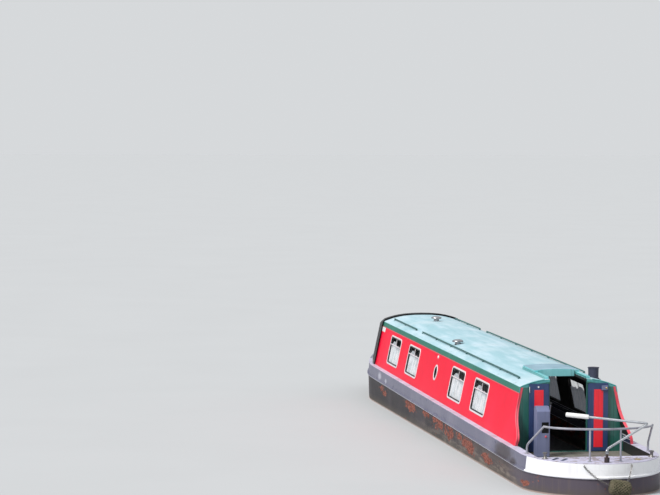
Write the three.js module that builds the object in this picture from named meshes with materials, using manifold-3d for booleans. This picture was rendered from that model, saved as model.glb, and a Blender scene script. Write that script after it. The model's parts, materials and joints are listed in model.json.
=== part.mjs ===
// A steel narrowboat with a cruiser stern, in millimetres, +Z up, bow towards +X, port side towards +Y.
// Stations along X are counted from the aft edge of the cabin roof, and heights from the underside of the
// base plate. The outer group moves the stations so that X = 0 is the middle of the boat.
import * as THREE from "three";
import { mergeVertices } from "three/addons/utils/BufferGeometryUtils.js";
import Module from "manifold-3d";

const wasm = await Module();
wasm.setup();

// Driving sizes of the hull
const MIDSHIP = 6100;
const GAP = 0.3;
const PLATE = 8;
const DECK_PLATE = 6;
const BASE_PLATE = 10;
const BASE_OVERHANG = 15;
const CHINE_HALF = 1005;
const COUNTER_Z = 560;
const COUNTER_HALF = 1015;
const STRAKE_Z = 900;
const STRAKE_HALF = 1020;
const STRAKE_OUT = 20;
const STRAKE_TALL = 40;
const GUNWALE_Z = 1100;
const GUNWALE_HALF = 1000;
const STERN_TIP = -2350;
const STERN_START = -1200;
const SWIM_TIP = -1450;
const SWIM_START = 900;
const SWIM_HALF = 30;
const BOW_START = 11000;
const BOW_TIP = 14200;
const BOW_TIP_LOW = 13750;
const BOW_FULLNESS = 2;
const BOW_RISE = 230;
const RISE_START = 11520;
const STERN_SPLIT = 950;
const BOW_SPLIT = 11350;

// Driving sizes of the cabin
const CABIN_END = 11450;
const CABIN_FOOT_HALF = 900;
const ROOF_HALF = 730;
const ROOF_EDGE_Z = 1925;
const ROOF_CROWN = 125;
const ROOF_FULLNESS = 2.6;
const ROOF_WALL = 38;
const ROOF_LIP = 6;
const WALL = 42;
const BULKHEAD_X = 0;
const BULKHEAD_THICK = 40;
const FLOOR_Z = 110;
const FLOOR_THICK = 20;

// Windows: stations of the four windows on each side, and of the porthole
const WINDOW_X = [2400, 4170, 7970, 9770];
const WINDOW_WIDE = 1030;
const WINDOW_TALL = 545;
const WINDOW_UP = 135;
const WINDOW_CORNER = 75;
const WINDOW_FLANGE = 28;
const WINDOW_PROUD = 6;
const PORTHOLE_X = 5920;
const PORTHOLE_UP = 425;
const PORTHOLE_RADIUS = 125;

// Driving sizes of the cockpit, the doorway and the hatch
const COCKPIT_AFT = -1600;
const COCKPIT_HALF = 850;
const COCKPIT_DEEP = 150;
const BOARD_THICK = 20;
const DOORWAY_HALF = 282;
const DOOR_HINGE_Y = 304;
const DOOR_WIDE = 294;
const DOOR_THICK = 26;
const DOOR_CLEAR = 7;
const DOOR_TOP = 1975;
const HATCH_HALF = 352;
const HATCH_LONG = 740;
const HATCH_OPENING = 730;
const HATCH_OPEN_X = 700;
const RUNNER_WIDE = 60;
const RUNNER_START = 60;

// Driving sizes of the steering gear and the stern gear
const STOCK_X = -2200;
const STOCK_RADIUS = 20;
const TILLER_SWING = THREE.MathUtils.degToRad(65);
const TILLER_RADIUS = 17;
const SHAFT_Z = 300;
const TUBE_RADIUS = 38;
const ENGINE_AFT = -760;
const PROPELLER_X = -1790;
const PROPELLER_RADIUS = 215;

// Colours of the pieces
const PAINT = {
  black: 0x17161b,
  grey: 0x7c8094,
  white: 0xe8e6ee,
  lilac: 0xcfcbe0,
  red: 0xf0344a,
  roof: 0xa9d3d6,
  green: 0x235a50,
  navy: 0x2c3c66,
  steel: 0xb9bcc2,
  bronze: 0x9a7a3c,
  wood: 0x9b8a70,
  canvas: 0x1d1d22,
  rope: 0x8a7d5c,
  glass: 0x8f979d,
  engine: 0x3d4a44,
};

const group = new THREE.Group();
group.position.x = -MIDSHIP;

// Solid modelling helpers

function solidOf(geometry) {
  const bare = new THREE.BufferGeometry();
  bare.setAttribute("position", geometry.getAttribute("position"));
  if (geometry.index) bare.setIndex(geometry.index);
  const merged = mergeVertices(bare, 1e-3);
  const keep = [];
  const index = merged.index.array;
  for (let i = 0; i < index.length; i += 3) {
    const [a, b, c] = [index[i], index[i + 1], index[i + 2]];
    if (a !== b && b !== c && a !== c) keep.push(a, b, c);
  }
  const made = new wasm.Manifold(
    new wasm.Mesh({
      numProp: 3,
      vertProperties: merged.attributes.position.array,
      triVerts: new Uint32Array(keep),
    }),
  );
  return made;
}

function geometryOf(solid) {
  const mesh = solid.getMesh();
  const points = new Float32Array(mesh.numVert * 3);
  for (let i = 0; i < mesh.numVert; i++) {
    points.set(mesh.vertProperties.subarray(i * mesh.numProp, i * mesh.numProp + 3), i * 3);
  }
  const geometry = new THREE.BufferGeometry();
  geometry.setAttribute("position", new THREE.BufferAttribute(points, 3));
  geometry.setIndex(new THREE.BufferAttribute(mesh.triVerts, 1));
  geometry.computeVertexNormals();
  return geometry;
}

function add(name, solid, color, metalness = 0.1, roughness = 0.6, parent = group) {
  const material = new THREE.MeshStandardMaterial({ color, metalness, roughness });
  const mesh = new THREE.Mesh(geometryOf(solid), material);
  mesh.name = name;
  parent.add(mesh);
  return mesh;
}

function join(solids) {
  return solids.reduce((whole, piece) => whole.add(piece));
}

function box(x0, x1, y0, y1, z0, z1) {
  const geometry = new THREE.BoxGeometry(x1 - x0, y1 - y0, z1 - z0);
  geometry.translate((x0 + x1) / 2, (y0 + y1) / 2, (z0 + z1) / 2);
  return solidOf(geometry);
}

function moved(solid, matrix) {
  const geometry = geometryOf(solid);
  geometry.applyMatrix4(matrix);
  return solidOf(geometry);
}

// A closed skin over rings that have the same number of points, capped at both ends. The caps are
// triangulated in the plane that drops the axis named by flat.
function loft(given, flat = "z") {
  const plane = { x: (p) => [p[1], p[2]], y: (p) => [p[2], p[0]], z: (p) => [p[0], p[1]] }[flat];
  const flatten = (ring) => ring.map((p) => new THREE.Vector2(...plane(p)));
  const turned = THREE.ShapeUtils.isClockWise(flatten(given[0]));
  const rings = turned ? given.map((ring) => [...ring].reverse()) : given;
  const count = rings[0].length;
  const points = rings.flat().map((p) => new THREE.Vector3(...p));
  const faces = [];
  for (let r = 0; r + 1 < rings.length; r++) {
    for (let i = 0; i < count; i++) {
      const j = (i + 1) % count;
      const [a, b, c, d] = [r * count + i, r * count + j, (r + 1) * count + j, (r + 1) * count + i];
      faces.push([a, b, c], [a, c, d]);
    }
  }
  const cap = THREE.ShapeUtils.triangulateShape(flatten(rings[0]), []);
  const top = (rings.length - 1) * count;
  for (const [a, b, c] of cap) faces.push([c, b, a], [top + a, top + b, top + c]);
  const geometry = new THREE.BufferGeometry().setFromPoints(points);
  geometry.setIndex(faces.flat());
  const solid = solidOf(geometry);
  if (solid.volume() > 0) return solid;
  geometry.setIndex(faces.map(([a, b, c]) => [a, c, b]).flat());
  return solidOf(geometry);
}

// A prism along X of an outline given as [y, z] points, along Y of [x, z] points, or along Z of [x, y] points
function prismX(outline, x0, x1) {
  return loft([outline.map(([y, z]) => [x0, y, z]), outline.map(([y, z]) => [x1, y, z])], "x");
}

function prismY(outline, y0, y1) {
  return loft([outline.map(([x, z]) => [x, y0, z]), outline.map(([x, z]) => [x, y1, z])], "y");
}

function prismZ(outline, z0, z1) {
  return loft([outline.map(([x, y]) => [x, y, z0]), outline.map(([x, y]) => [x, y, z1])], "z");
}

// A round bar between two points
function rod(from, to, radius, sides = 16, radiusTo = radius) {
  const a = new THREE.Vector3(...from);
  const b = new THREE.Vector3(...to);
  const geometry = new THREE.CylinderGeometry(radiusTo, radius, a.distanceTo(b), sides);
  const turn = new THREE.Quaternion().setFromUnitVectors(
    new THREE.Vector3(0, 1, 0),
    b.clone().sub(a).normalize(),
  );
  geometry.applyQuaternion(turn);
  geometry.translate((a.x + b.x) / 2, (a.y + b.y) / 2, (a.z + b.z) / 2);
  return solidOf(geometry);
}

// A round bar that follows straight runs joined by bends of the given radius
function bentBar(corners, bend, radius, sides = 10) {
  const points = corners.map((p) => new THREE.Vector3(...p));
  const path = new THREE.CurvePath();
  let start = points[0];
  for (let i = 1; i + 1 < points.length; i++) {
    const into = points[i].clone().sub(points[i - 1]);
    const out = points[i + 1].clone().sub(points[i]);
    const room = Math.min(bend, into.length() / 2.1, out.length() / 2.1);
    const before = points[i].clone().addScaledVector(into.normalize(), -room);
    const after = points[i].clone().addScaledVector(out.normalize(), room);
    path.add(new THREE.LineCurve3(start, before));
    path.add(new THREE.QuadraticBezierCurve3(before, points[i], after));
    start = after;
  }
  path.add(new THREE.LineCurve3(start, points.at(-1)));
  return sweep(path, radius, sides);
}

function sweep(path, radius, sides) {
  const stations = [];
  for (const curve of path.curves) {
    const steps = curve.isLineCurve3 ? 1 : 5;
    for (let k = stations.length ? 1 : 0; k <= steps; k++) stations.push(curve.getPoint(k / steps));
  }
  let side = new THREE.Vector3();
  const rings = stations.map((point, i) => {
    const ahead = stations[Math.min(i + 1, stations.length - 1)];
    const behind = stations[Math.max(i - 1, 0)];
    const along = ahead.clone().sub(behind).normalize();
    if (i === 0) {
      const upright = Math.abs(along.z) > 0.9 ? new THREE.Vector3(1, 0, 0) : new THREE.Vector3(0, 0, 1);
      side = new THREE.Vector3().crossVectors(upright, along);
    }
    side.addScaledVector(along, -side.dot(along)).normalize();
    const other = new THREE.Vector3().crossVectors(along, side);
    return Array.from({ length: sides }, (_, k) => {
      const angle = (2 * Math.PI * k) / sides;
      const p = point.clone();
      p.addScaledVector(side, radius * Math.cos(angle)).addScaledVector(other, radius * Math.sin(angle));
      return p.toArray();
    });
  });
  return loftDisc(rings);
}

// A skin over convex rings whose caps are fans, whatever way the ends face
function loftDisc(rings) {
  const count = rings[0].length;
  const points = rings.flat().map((p) => new THREE.Vector3(...p));
  const faces = [];
  for (let r = 0; r + 1 < rings.length; r++) {
    for (let i = 0; i < count; i++) {
      const j = (i + 1) % count;
      faces.push([r * count + i, r * count + j, (r + 1) * count + j]);
      faces.push([r * count + i, (r + 1) * count + j, (r + 1) * count + i]);
    }
  }
  const top = (rings.length - 1) * count;
  for (let i = 1; i + 1 < count; i++) faces.push([0, i + 1, i], [top, top + i, top + i + 1]);
  const geometry = new THREE.BufferGeometry().setFromPoints(points);
  geometry.setIndex(faces.flat());
  const solid = solidOf(geometry);
  if (solid.volume() > 0) return solid;
  geometry.setIndex(faces.map(([a, b, c]) => [a, c, b]).flat());
  return solidOf(geometry);
}

function lathe(profile, x, y, z, sides = 24) {
  const geometry = new THREE.LatheGeometry(profile.map(([r, h]) => new THREE.Vector2(r, h)), sides);
  geometry.rotateX(Math.PI / 2);
  geometry.translate(x, y, z);
  return solidOf(geometry);
}

function roundedRectangle(wide, tall, corner, arcs = 4) {
  const outline = [];
  const centres = [
    [wide / 2 - corner, tall / 2 - corner, 0],
    [-wide / 2 + corner, tall / 2 - corner, 1],
    [-wide / 2 + corner, -tall / 2 + corner, 2],
    [wide / 2 - corner, -tall / 2 + corner, 3],
  ];
  for (const [cx, cy, quarter] of centres) {
    for (let k = 0; k <= arcs; k++) {
      const angle = (Math.PI / 2) * (quarter + k / arcs);
      outline.push([cx + corner * Math.cos(angle), cy + corner * Math.sin(angle)]);
    }
  }
  return outline;
}

function circle(radius, sides = 28) {
  return Array.from({ length: sides }, (_, k) => [
    radius * Math.cos((2 * Math.PI * k) / sides),
    radius * Math.sin((2 * Math.PI * k) / sides),
  ]);
}

// Hull form. A level is one height of the hull: its half breadth, its stern and its bow. The stern is
// either a round counter or a swim that narrows to the propeller.
const STERN_STEPS = 10;
const BOW_STEPS = 12;
const LEVELS = {
  base: { z: BASE_PLATE, half: CHINE_HALF, swim: true, tip: BOW_TIP_LOW - 60, rise: 0 },
  counterLow: { z: COUNTER_Z, half: COUNTER_HALF, swim: true, tip: BOW_TIP_LOW + 180, rise: 0 },
  counter: { z: COUNTER_Z, half: COUNTER_HALF, swim: false, tip: BOW_TIP_LOW + 180, rise: 0 },
  strake: { z: STRAKE_Z, half: STRAKE_HALF, swim: false, tip: BOW_TIP - 110, rise: 0.85 },
  gunwale: { z: GUNWALE_Z, half: GUNWALE_HALF, swim: false, tip: BOW_TIP, rise: 1 },
};

function bowRise(x) {
  const t = Math.max(0, (x - RISE_START) / (BOW_TIP - RISE_START));
  return BOW_RISE * t * t;
}

// The port half of the hull's outline at a level, from the stern's centreline to the stem, drawn out or in
// by the given offset
function halfOutline(level, out = 0) {
  const half = level.half + out;
  const points = [];
  for (let k = 0; k <= STERN_STEPS; k++) {
    const t = k / STERN_STEPS;
    if (level.swim) {
      const ease = t * t * (3 - 2 * t);
      const tip = SWIM_TIP - out;
      points.push([tip + (SWIM_START - tip) * t, SWIM_HALF + out + (half - SWIM_HALF - out) * ease]);
    } else {
      const angle = (t * Math.PI) / 2;
      const long = STERN_START - STERN_TIP + out;
      points.push([STERN_START - long * Math.cos(angle), half * Math.sin(angle)]);
    }
  }
  for (let k = 0; k <= BOW_STEPS; k++) {
    const t = k / BOW_STEPS;
    const stem = 14 + out;
    const x = BOW_START + (level.tip + out - BOW_START) * t;
    points.push([x, stem + (half - stem) * (1 - t ** BOW_FULLNESS)]);
  }
  return points;
}

function outline(level, out = 0) {
  const port = halfOutline(level, out);
  const starboard = port
    .filter(([, y]) => y > 1e-6)
    .map(([x, y]) => [x, -y])
    .reverse();
  return [...port, ...starboard];
}

function ring(level, out = 0, lift = 0) {
  return outline(level, out).map(([x, y]) => [x, y, level.z + lift + level.rise * bowRise(x)]);
}

// Half breadth of the deck's edge at a station forward of the stern
function deckEdge(x) {
  const edge = halfOutline(LEVELS.gunwale);
  const i = edge.findIndex(([px]) => px >= x);
  const [x0, y0] = edge[i - 1];
  const [x1, y1] = edge[i];
  return y0 + ((y1 - y0) * (x - x0)) / (x1 - x0);
}

// Hull plating: one shell, open at the bottom and under the decks, cut where the stern, side and bow plates
// meet. A hull solid is drawn out or in, its counter raised, and it reaches down and up past the plating.
function hullSolid({ out = 0, lift = 0, down = 0 }) {
  const lower = loft([
    ring({ ...LEVELS.base, z: BASE_PLATE + GAP - down }, out),
    ring(LEVELS.counterLow, out, lift),
  ]);
  const upper = loft([
    ring(LEVELS.counter, out, lift),
    ring(LEVELS.strake, out),
    ring(LEVELS.gunwale, out),
    ring(LEVELS.gunwale, out, 120),
  ]);
  return lower.add(upper);
}

// Everything above the sheer line, which runs level and then rises to the stem
function aboveSheer(lift) {
  const steps = 24;
  const line = Array.from({ length: steps + 1 }, (_, k) => {
    const x = RISE_START + ((BOW_TIP + 200 - RISE_START) * k) / steps;
    return [x, GUNWALE_Z + bowRise(x) + lift];
  });
  return prismY([[-3000, GUNWALE_Z + lift], ...line, [BOW_TIP + 200, 2500], [-3000, 2500]], -1300, 1300);
}

const hull = hullSolid({})
  .subtract(hullSolid({ out: -PLATE, lift: PLATE, down: 60 }))
  .subtract(aboveSheer(-DECK_PLATE - GAP));

function cutHull(x0, x1, y0, y1) {
  return hull.intersect(box(x0, x1, y0, y1, -100, 2000));
}

const rudderHole = prismZ(
  circle(STOCK_RADIUS + 4, 20).map(([x, y]) => [x + STOCK_X, y]),
  COUNTER_Z - 30,
  GUNWALE_Z + 30,
);
const shaftHole = rod([SWIM_TIP - 200, 0, SHAFT_Z], [SWIM_TIP + 400, 0, SHAFT_Z], TUBE_RADIUS + GAP, 20);

add("stern_shell", cutHull(-3000, STERN_SPLIT, -1200, 1200).subtract(rudderHole).subtract(shaftHole), PAINT.black);
add("hull_side_port", cutHull(STERN_SPLIT + GAP, BOW_SPLIT, 0, 1200), PAINT.black);
add("hull_side_starboard", cutHull(STERN_SPLIT + GAP, BOW_SPLIT, -1200, 0), PAINT.black);
add("bow_shell", cutHull(BOW_SPLIT + GAP, 16000, -1200, 1200), PAINT.black);

const basePlate = prismZ(outline(LEVELS.base, BASE_OVERHANG), 0, BASE_PLATE);
const skeg = box(STOCK_X - 60, SWIM_TIP - 3, -32, 32, 0, 40);
add("base_plate", join([basePlate, skeg]), PAINT.black);

// Rubbing strakes: a bar with a bevelled outer edge round each side, from the stern to the stem
const hullClear = hullSolid({ out: GAP });
function strake(side) {
  const inside = halfOutline(LEVELS.strake, -4);
  const outside = halfOutline(LEVELS.strake, STRAKE_OUT);
  const half = STRAKE_TALL / 2;
  const rings = inside.map(([x, y], i) => {
    const [ox, oy] = outside[i];
    const z = STRAKE_Z + LEVELS.strake.rise * bowRise(x);
    const away = i === 0 ? 1 : 0;
    return [
      [x, side * (y + away), z - half],
      [ox, side * (oy + away), z - half * 0.6],
      [ox, side * (oy + away), z + half * 0.6],
      [x, side * (y + away), z + half],
    ];
  });
  return loftDisc(rings).subtract(hullClear);
}

add("rubbing_strake_port", strake(1), PAINT.grey);
add("rubbing_strake_starboard", strake(-1), PAINT.grey);

// Side decks along the cabin and the well
const WELL_END = 12300;
const SIDE_DECK_BOW = 118;

function sideDeck(side) {
  const stations = [BULKHEAD_X + BULKHEAD_THICK + 10, BOW_START, 11260, CABIN_END + 60, 11780, 12040, WELL_END];
  const rings = stations.map((x) => {
    const outer = deckEdge(x);
    const inner = x <= CABIN_END + 60 ? COCKPIT_HALF : Math.min(COCKPIT_HALF, outer - SIDE_DECK_BOW);
    const z = GUNWALE_Z + bowRise(x);
    return [
      [x, side * inner, z - DECK_PLATE],
      [x, side * outer, z - DECK_PLATE],
      [x, side * outer, z],
      [x, side * inner, z],
    ];
  });
  return loftDisc(rings);
}

add("side_deck_port", sideDeck(1), PAINT.lilac);
add("side_deck_starboard", sideDeck(-1), PAINT.lilac);

// Foredeck
function foredeckRings(lift = 0, deep = DECK_PLATE) {
  const start = WELL_END + GAP;
  const edge = halfOutline(LEVELS.gunwale).filter(([x]) => x > WELL_END + 60);
  return [[start, deckEdge(start)], ...edge].map(([x, y]) => {
    const z = GUNWALE_Z + bowRise(x) + lift;
    return [
      [x, -y, z - deep],
      [x, y, z - deep],
      [x, y, z],
      [x, 0, z + 0.03 * y],
      [x, -y, z],
    ];
  });
}

add("foredeck", loftDisc(foredeckRings()), PAINT.grey);

// Stern deck: the plate round the cockpit, the coaming that drops inside it and the ledge for the boards
const boardTop = GUNWALE_Z - COCKPIT_DEEP;
const ledgeTop = boardTop - BOARD_THICK - GAP;
const deckEnd = BULKHEAD_X + BULKHEAD_THICK + 10 - GAP;
const deckOutline = outline(LEVELS.gunwale);
const deckPlate = prismZ(deckOutline, GUNWALE_Z - DECK_PLATE, GUNWALE_Z).intersect(
  box(-3000, deckEnd, -1200, 1200, 0, 2000),
);
const coamingOuter = box(COCKPIT_AFT - DECK_PLATE, deckEnd, -COCKPIT_HALF - DECK_PLATE, COCKPIT_HALF + DECK_PLATE,
  ledgeTop - DECK_PLATE, GUNWALE_Z - 1);
const coamingInner = box(COCKPIT_AFT, deckEnd + 10, -COCKPIT_HALF, COCKPIT_HALF, ledgeTop, GUNWALE_Z + 50);
const LEDGE = 50;
const boardHole = box(COCKPIT_AFT + LEDGE, deckEnd + 10, LEDGE - COCKPIT_HALF, COCKPIT_HALF - LEDGE,
  ledgeTop - LEDGE, ledgeTop + LEDGE);
const crossLedge = box(BULKHEAD_X - 60, deckEnd, -COCKPIT_HALF, COCKPIT_HALF, ledgeTop - DECK_PLATE, ledgeTop);
const sternDeck = deckPlate
  .add(coamingOuter)
  .subtract(coamingInner)
  .subtract(boardHole)
  .add(crossLedge)
  .subtract(rudderHole);
add("stern_deck", sternDeck, PAINT.lilac);
add("deck_boards", box(COCKPIT_AFT + 3, BULKHEAD_X - 3, -COCKPIT_HALF + 3, COCKPIT_HALF - 3,
  ledgeTop + GAP, boardTop), PAINT.wood, 0, 0.8);

// Cabin shell
function cabinHalf(z) {
  return CABIN_FOOT_HALF + ((ROOF_HALF - CABIN_FOOT_HALF) * (z - GUNWALE_Z)) / (ROOF_EDGE_Z - GUNWALE_Z);
}

function roofZ(y) {
  return ROOF_EDGE_Z + ROOF_CROWN * (1 - Math.abs(y / ROOF_HALF) ** ROOF_FULLNESS);
}

const roofFoot = ROOF_EDGE_Z - ROOF_LIP;
const sideTop = roofFoot - GAP;
const sideLean = Math.atan2(CABIN_FOOT_HALF - ROOF_HALF, ROOF_EDGE_Z - GUNWALE_Z);
const ROOF_POINTS = [1, 0.94, 0.86, 0.76, 0.64, 0.48, 0.26, 0];

// The cabin's outer profile above the given height, drawn out or in by an offset
function cabinProfile(foot, out = 0) {
  const port = [
    [cabinHalf(foot) + out, foot],
    ...ROOF_POINTS.map((s) => [s * (ROOF_HALF + out), roofZ(s * ROOF_HALF) + out]),
  ];
  const starboard = port
    .filter(([y]) => y > 0)
    .map(([y, z]) => [-y, z])
    .reverse();
  return [...port, ...starboard];
}

// The roof lies on the tops of the cabin sides. A sheet covers the cabin forward of the hatchway, and a
// narrow sheet lies on each side of the hatchway.
const ROOF_DEEP = 60;
const roofShell = prismX(cabinProfile(ROOF_EDGE_Z - ROOF_DEEP), 0, CABIN_END)
  .subtract(prismX(cabinProfile(ROOF_EDGE_Z - 2 * ROOF_DEEP, -ROOF_WALL), -10, CABIN_END + 10))
  .intersect(box(-10, CABIN_END + 10, -CABIN_FOOT_HALF, CABIN_FOOT_HALF, roofFoot, 2300));
const aftPart = (y0, y1) => roofShell.intersect(box(-10, HATCH_OPENING, y0, y1, 1800, 2300));
const forePart = box(HATCH_OPENING + GAP, CABIN_END + 10, -CABIN_FOOT_HALF, CABIN_FOOT_HALF, 1800, 2300);
add("cabin_roof", roofShell.intersect(forePart), PAINT.roof);
add("roof_side_port", aftPart(DOORWAY_HALF, CABIN_FOOT_HALF), PAINT.roof);
add("roof_side_starboard", aftPart(-CABIN_FOOT_HALF, -DOORWAY_HALF), PAINT.roof);

// The aft edge of a cabin side: a low wing behind the bulkhead that sweeps up into the roof, given as
// stations at heights above the side deck
const WING = [
  { x: -370, up: -50 },
  { x: -385, up: 20 },
  { x: -400, up: 105 },
  { x: -320, up: 190 },
  { x: -190, up: 280 },
  { x: -90, up: 370 },
  { x: -22, up: 480 },
  { x: 0, up: 600 },
];

const WING_END = -450;
function sideEnd() {
  const curve = new THREE.SplineCurve(WING.map(({ x, up }) => new THREE.Vector2(x, GUNWALE_Z + up)));
  const edge = curve.getPoints(16).map((p) => [p.x, p.y]);
  return [[-600, GUNWALE_Z - 50], ...edge, [0, 2100], [-600, 2100]];
}

// Moves a shape drawn in the plane of a cabin side (x, up the slope) so that it lies on that side
function onSide(side, x, up) {
  const slope = new THREE.Matrix4().makeRotationX(side * (Math.PI / 2 + sideLean));
  const up3 = new THREE.Vector3(0, -side * Math.sin(sideLean), Math.cos(sideLean)).multiplyScalar(up);
  return new THREE.Matrix4()
    .makeTranslation(x, side * CABIN_FOOT_HALF + up3.y, GUNWALE_Z + up3.z)
    .multiply(slope);
}

// A plate of the given outline that lies on a cabin side, from depth in to depth out along its normal
function sidePlate(outlinePoints, side, x, up, inward, outward) {
  const flipped = outlinePoints.map(([px, py]) => [px, side * py]);
  return moved(prismZ(flipped, -outward, inward), onSide(side, x, up));
}

function windowUp() {
  return WINDOW_UP + WINDOW_TALL / 2;
}

function sidePanel(side) {
  const foot = GUNWALE_Z + GAP;
  const section = [
    [side * cabinHalf(foot), foot],
    [side * cabinHalf(sideTop), sideTop],
    [side * (cabinHalf(sideTop) - WALL), sideTop],
    [side * (cabinHalf(foot) - WALL), foot],
  ];
  let panel = prismX(section, WING_END, CABIN_END);
  panel = panel.subtract(prismY(sideEnd(), side > 0 ? 0 : -1200, side > 0 ? 1200 : 0));
  for (const x of WINDOW_X) {
    const hole = roundedRectangle(WINDOW_WIDE - 2 * WINDOW_FLANGE, WINDOW_TALL - 2 * WINDOW_FLANGE,
      WINDOW_CORNER - WINDOW_FLANGE / 2);
    panel = panel.subtract(sidePlate(hole, side, x, windowUp(), WALL + 60, 60));
  }
  return panel.subtract(sidePlate(circle(PORTHOLE_RADIUS - 14), side, PORTHOLE_X, PORTHOLE_UP, WALL + 60, 60));
}

add("cabin_side_port", sidePanel(1), PAINT.red, 0.1, 0.35);
add("cabin_side_starboard", sidePanel(-1), PAINT.red, 0.1, 0.35);

// Windows: a flanged frame that sits proud of the side, with its pane in the middle of the frame
function windowSolid(outer, hole, side, x, up) {
  const flange = sidePlate(outer, side, x, up, -GAP, WINDOW_PROUD);
  const liner = sidePlate(hole(2), side, x, up, 26, 1);
  const light = sidePlate(hole(16), side, x, up, 60, 30);
  const pane = sidePlate(hole(10), side, x, up, 8, -2);
  return flange.add(liner).subtract(light).add(pane);
}

for (const [name, side] of [["port", 1], ["starboard", -1]]) {
  WINDOW_X.forEach((x, i) => {
    const hole = (inset) => roundedRectangle(
      WINDOW_WIDE - 2 * WINDOW_FLANGE - 2 * inset,
      WINDOW_TALL - 2 * WINDOW_FLANGE - 2 * inset,
      Math.max(20, WINDOW_CORNER - WINDOW_FLANGE / 2 - inset),
    );
    const outer = roundedRectangle(WINDOW_WIDE, WINDOW_TALL, WINDOW_CORNER);
    add(`window_${name}_${i + 1}`, windowSolid(outer, hole, side, x, windowUp()), PAINT.glass, 0.2, 0.2);
  });
  const hole = (inset) => circle(PORTHOLE_RADIUS - 14 - inset);
  const rim = windowSolid(circle(PORTHOLE_RADIUS + 12), hole, side, PORTHOLE_X, PORTHOLE_UP);
  add(`porthole_${name}`, rim, PAINT.glass, 0.2, 0.2);
}

// Rear bulkhead with its doorway and the pivot lugs of the doors
const bulkheadFoot = ledgeTop + GAP;
const doorFoot = boardTop + 12;
// A bulkhead's upper part fits between the cabin sides and under the roof
const BULKHEAD_PLAY = 1;
function upperBulkhead(x0, x1) {
  const low = cabinHalf(GUNWALE_Z) - WALL - BULKHEAD_PLAY;
  const high = cabinHalf(sideTop) - WALL - BULKHEAD_PLAY;
  const crown = ROOF_EDGE_Z + ROOF_CROWN;
  const port = [[low, GUNWALE_Z], [high, sideTop], [high, crown]];
  const between = [...port, ...port.map(([y, z]) => [-y, z]).reverse()];
  const underRoof = prismX(cabinProfile(GUNWALE_Z - 1, -ROOF_WALL - BULKHEAD_PLAY), x0, x1);
  const underEdges = box(x0, x1, -ROOF_HALF, ROOF_HALF, GUNWALE_Z - 1, roofFoot - BULKHEAD_PLAY);
  return underRoof.add(underEdges).intersect(prismX(between, x0 - 1, x1 + 1));
}

const lowerBulkhead = box(BULKHEAD_X, BULKHEAD_X + BULKHEAD_THICK, -COCKPIT_HALF + 1, COCKPIT_HALF - 1,
  bulkheadFoot, GUNWALE_Z + 1);
const doorway = box(0, 500, -DOORWAY_HALF, DOORWAY_HALF, boardTop + 10, 2300);
const leafFace = BULKHEAD_X - DOOR_CLEAR;
const pivotX = leafFace - DOOR_THICK / 2;

function pivotLug(side, z0, z1) {
  const y = side * DOOR_HINGE_Y;
  return box(pivotX - 16, BULKHEAD_X + 1, y - 14, y + 14, z0, z1);
}

const lugs = [1, -1].flatMap((side) => [
  pivotLug(side, boardTop + 1, doorFoot - GAP),
  pivotLug(side, DOOR_TOP + GAP, DOOR_TOP + 12),
]);
const rearWall = upperBulkhead(BULKHEAD_X, BULKHEAD_X + BULKHEAD_THICK).add(lowerBulkhead).subtract(doorway);
add("rear_bulkhead", join([rearWall, ...lugs]), PAINT.green);

// Rear doors, stored folded back flat against the bulkhead. The raised panel stands on the outer face,
// which lies against the bulkhead when the door is open, and on the inner face, which then shows.
function doorLeaf(side) {
  const start = DOOR_HINGE_Y + 5;
  const end = start + DOOR_WIDE;
  const [y0, y1] = side > 0 ? [start, end] : [-end, -start];
  const leaf = box(leafFace - DOOR_THICK, leafFace, y0, y1, doorFoot, DOOR_TOP);
  const middle = (y0 + y1) / 2;
  const raised = box(leafFace - DOOR_THICK - 4, leafFace - DOOR_THICK + 1, middle - 70, middle + 70,
    doorFoot + 55, DOOR_TOP - 92);
  const knuckle = rod([pivotX, side * DOOR_HINGE_Y, doorFoot], [pivotX, side * DOOR_HINGE_Y, DOOR_TOP], 8, 12);
  const edge = box(pivotX - 6, pivotX + 6, Math.min(side * DOOR_HINGE_Y, side * (start + 2)),
    Math.max(side * DOOR_HINGE_Y, side * (start + 2)), doorFoot, DOOR_TOP);
  return join([leaf, raised, edge, knuckle]);
}

add("rear_door_port", doorLeaf(1), PAINT.navy);
add("rear_door_starboard", doorLeaf(-1), PAINT.navy);

// Pieces that stand on the roof reach into it and are cut back to just above its skin
const roofTop = prismX(cabinProfile(ROOF_EDGE_Z - 2 * ROOF_DEEP, GAP * 2), -50, CABIN_END + 50);

// Hatch runners and the sliding hatch
const runnerTop = ROOF_EDGE_Z + ROOF_CROWN + 22;
function runner(side) {
  const inner = DOORWAY_HALF + 4;
  const outer = inner + RUNNER_WIDE;
  const [y0, y1] = side > 0 ? [inner, outer] : [-outer, -inner];
  const foot = roofZ(outer) - 10;
  return box(RUNNER_START, HATCH_OPEN_X + HATCH_LONG + 60, y0, y1, foot, runnerTop).subtract(roofTop);
}

add("hatch_runner_port", runner(1), PAINT.green);
add("hatch_runner_starboard", runner(-1), PAINT.green);

function hatch() {
  const points = [-1, -0.6, -0.2, 0.2, 0.6, 1];
  const camber = (s) => runnerTop + 26 + 22 * (1 - s * s);
  const top = points.map((s) => [s * HATCH_HALF, camber(s)]);
  const section = [[-HATCH_HALF, runnerTop + GAP], ...top, [HATCH_HALF, runnerTop + GAP]];
  const lid = prismX(section, HATCH_OPEN_X, HATCH_OPEN_X + HATCH_LONG);
  const under = box(HATCH_OPEN_X - 10, HATCH_OPEN_X + HATCH_LONG - 14, -HATCH_HALF + 70, HATCH_HALF - 70,
    runnerTop - 30, runnerTop + 16);
  const fascia = box(HATCH_OPEN_X, HATCH_OPEN_X + 14, 8 - DOORWAY_HALF, DOORWAY_HALF - 8,
    runnerTop - 68, runnerTop + 20);
  return lid.subtract(under).add(fascia);
}

add("sliding_hatch", hatch(), PAINT.roof);

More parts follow.
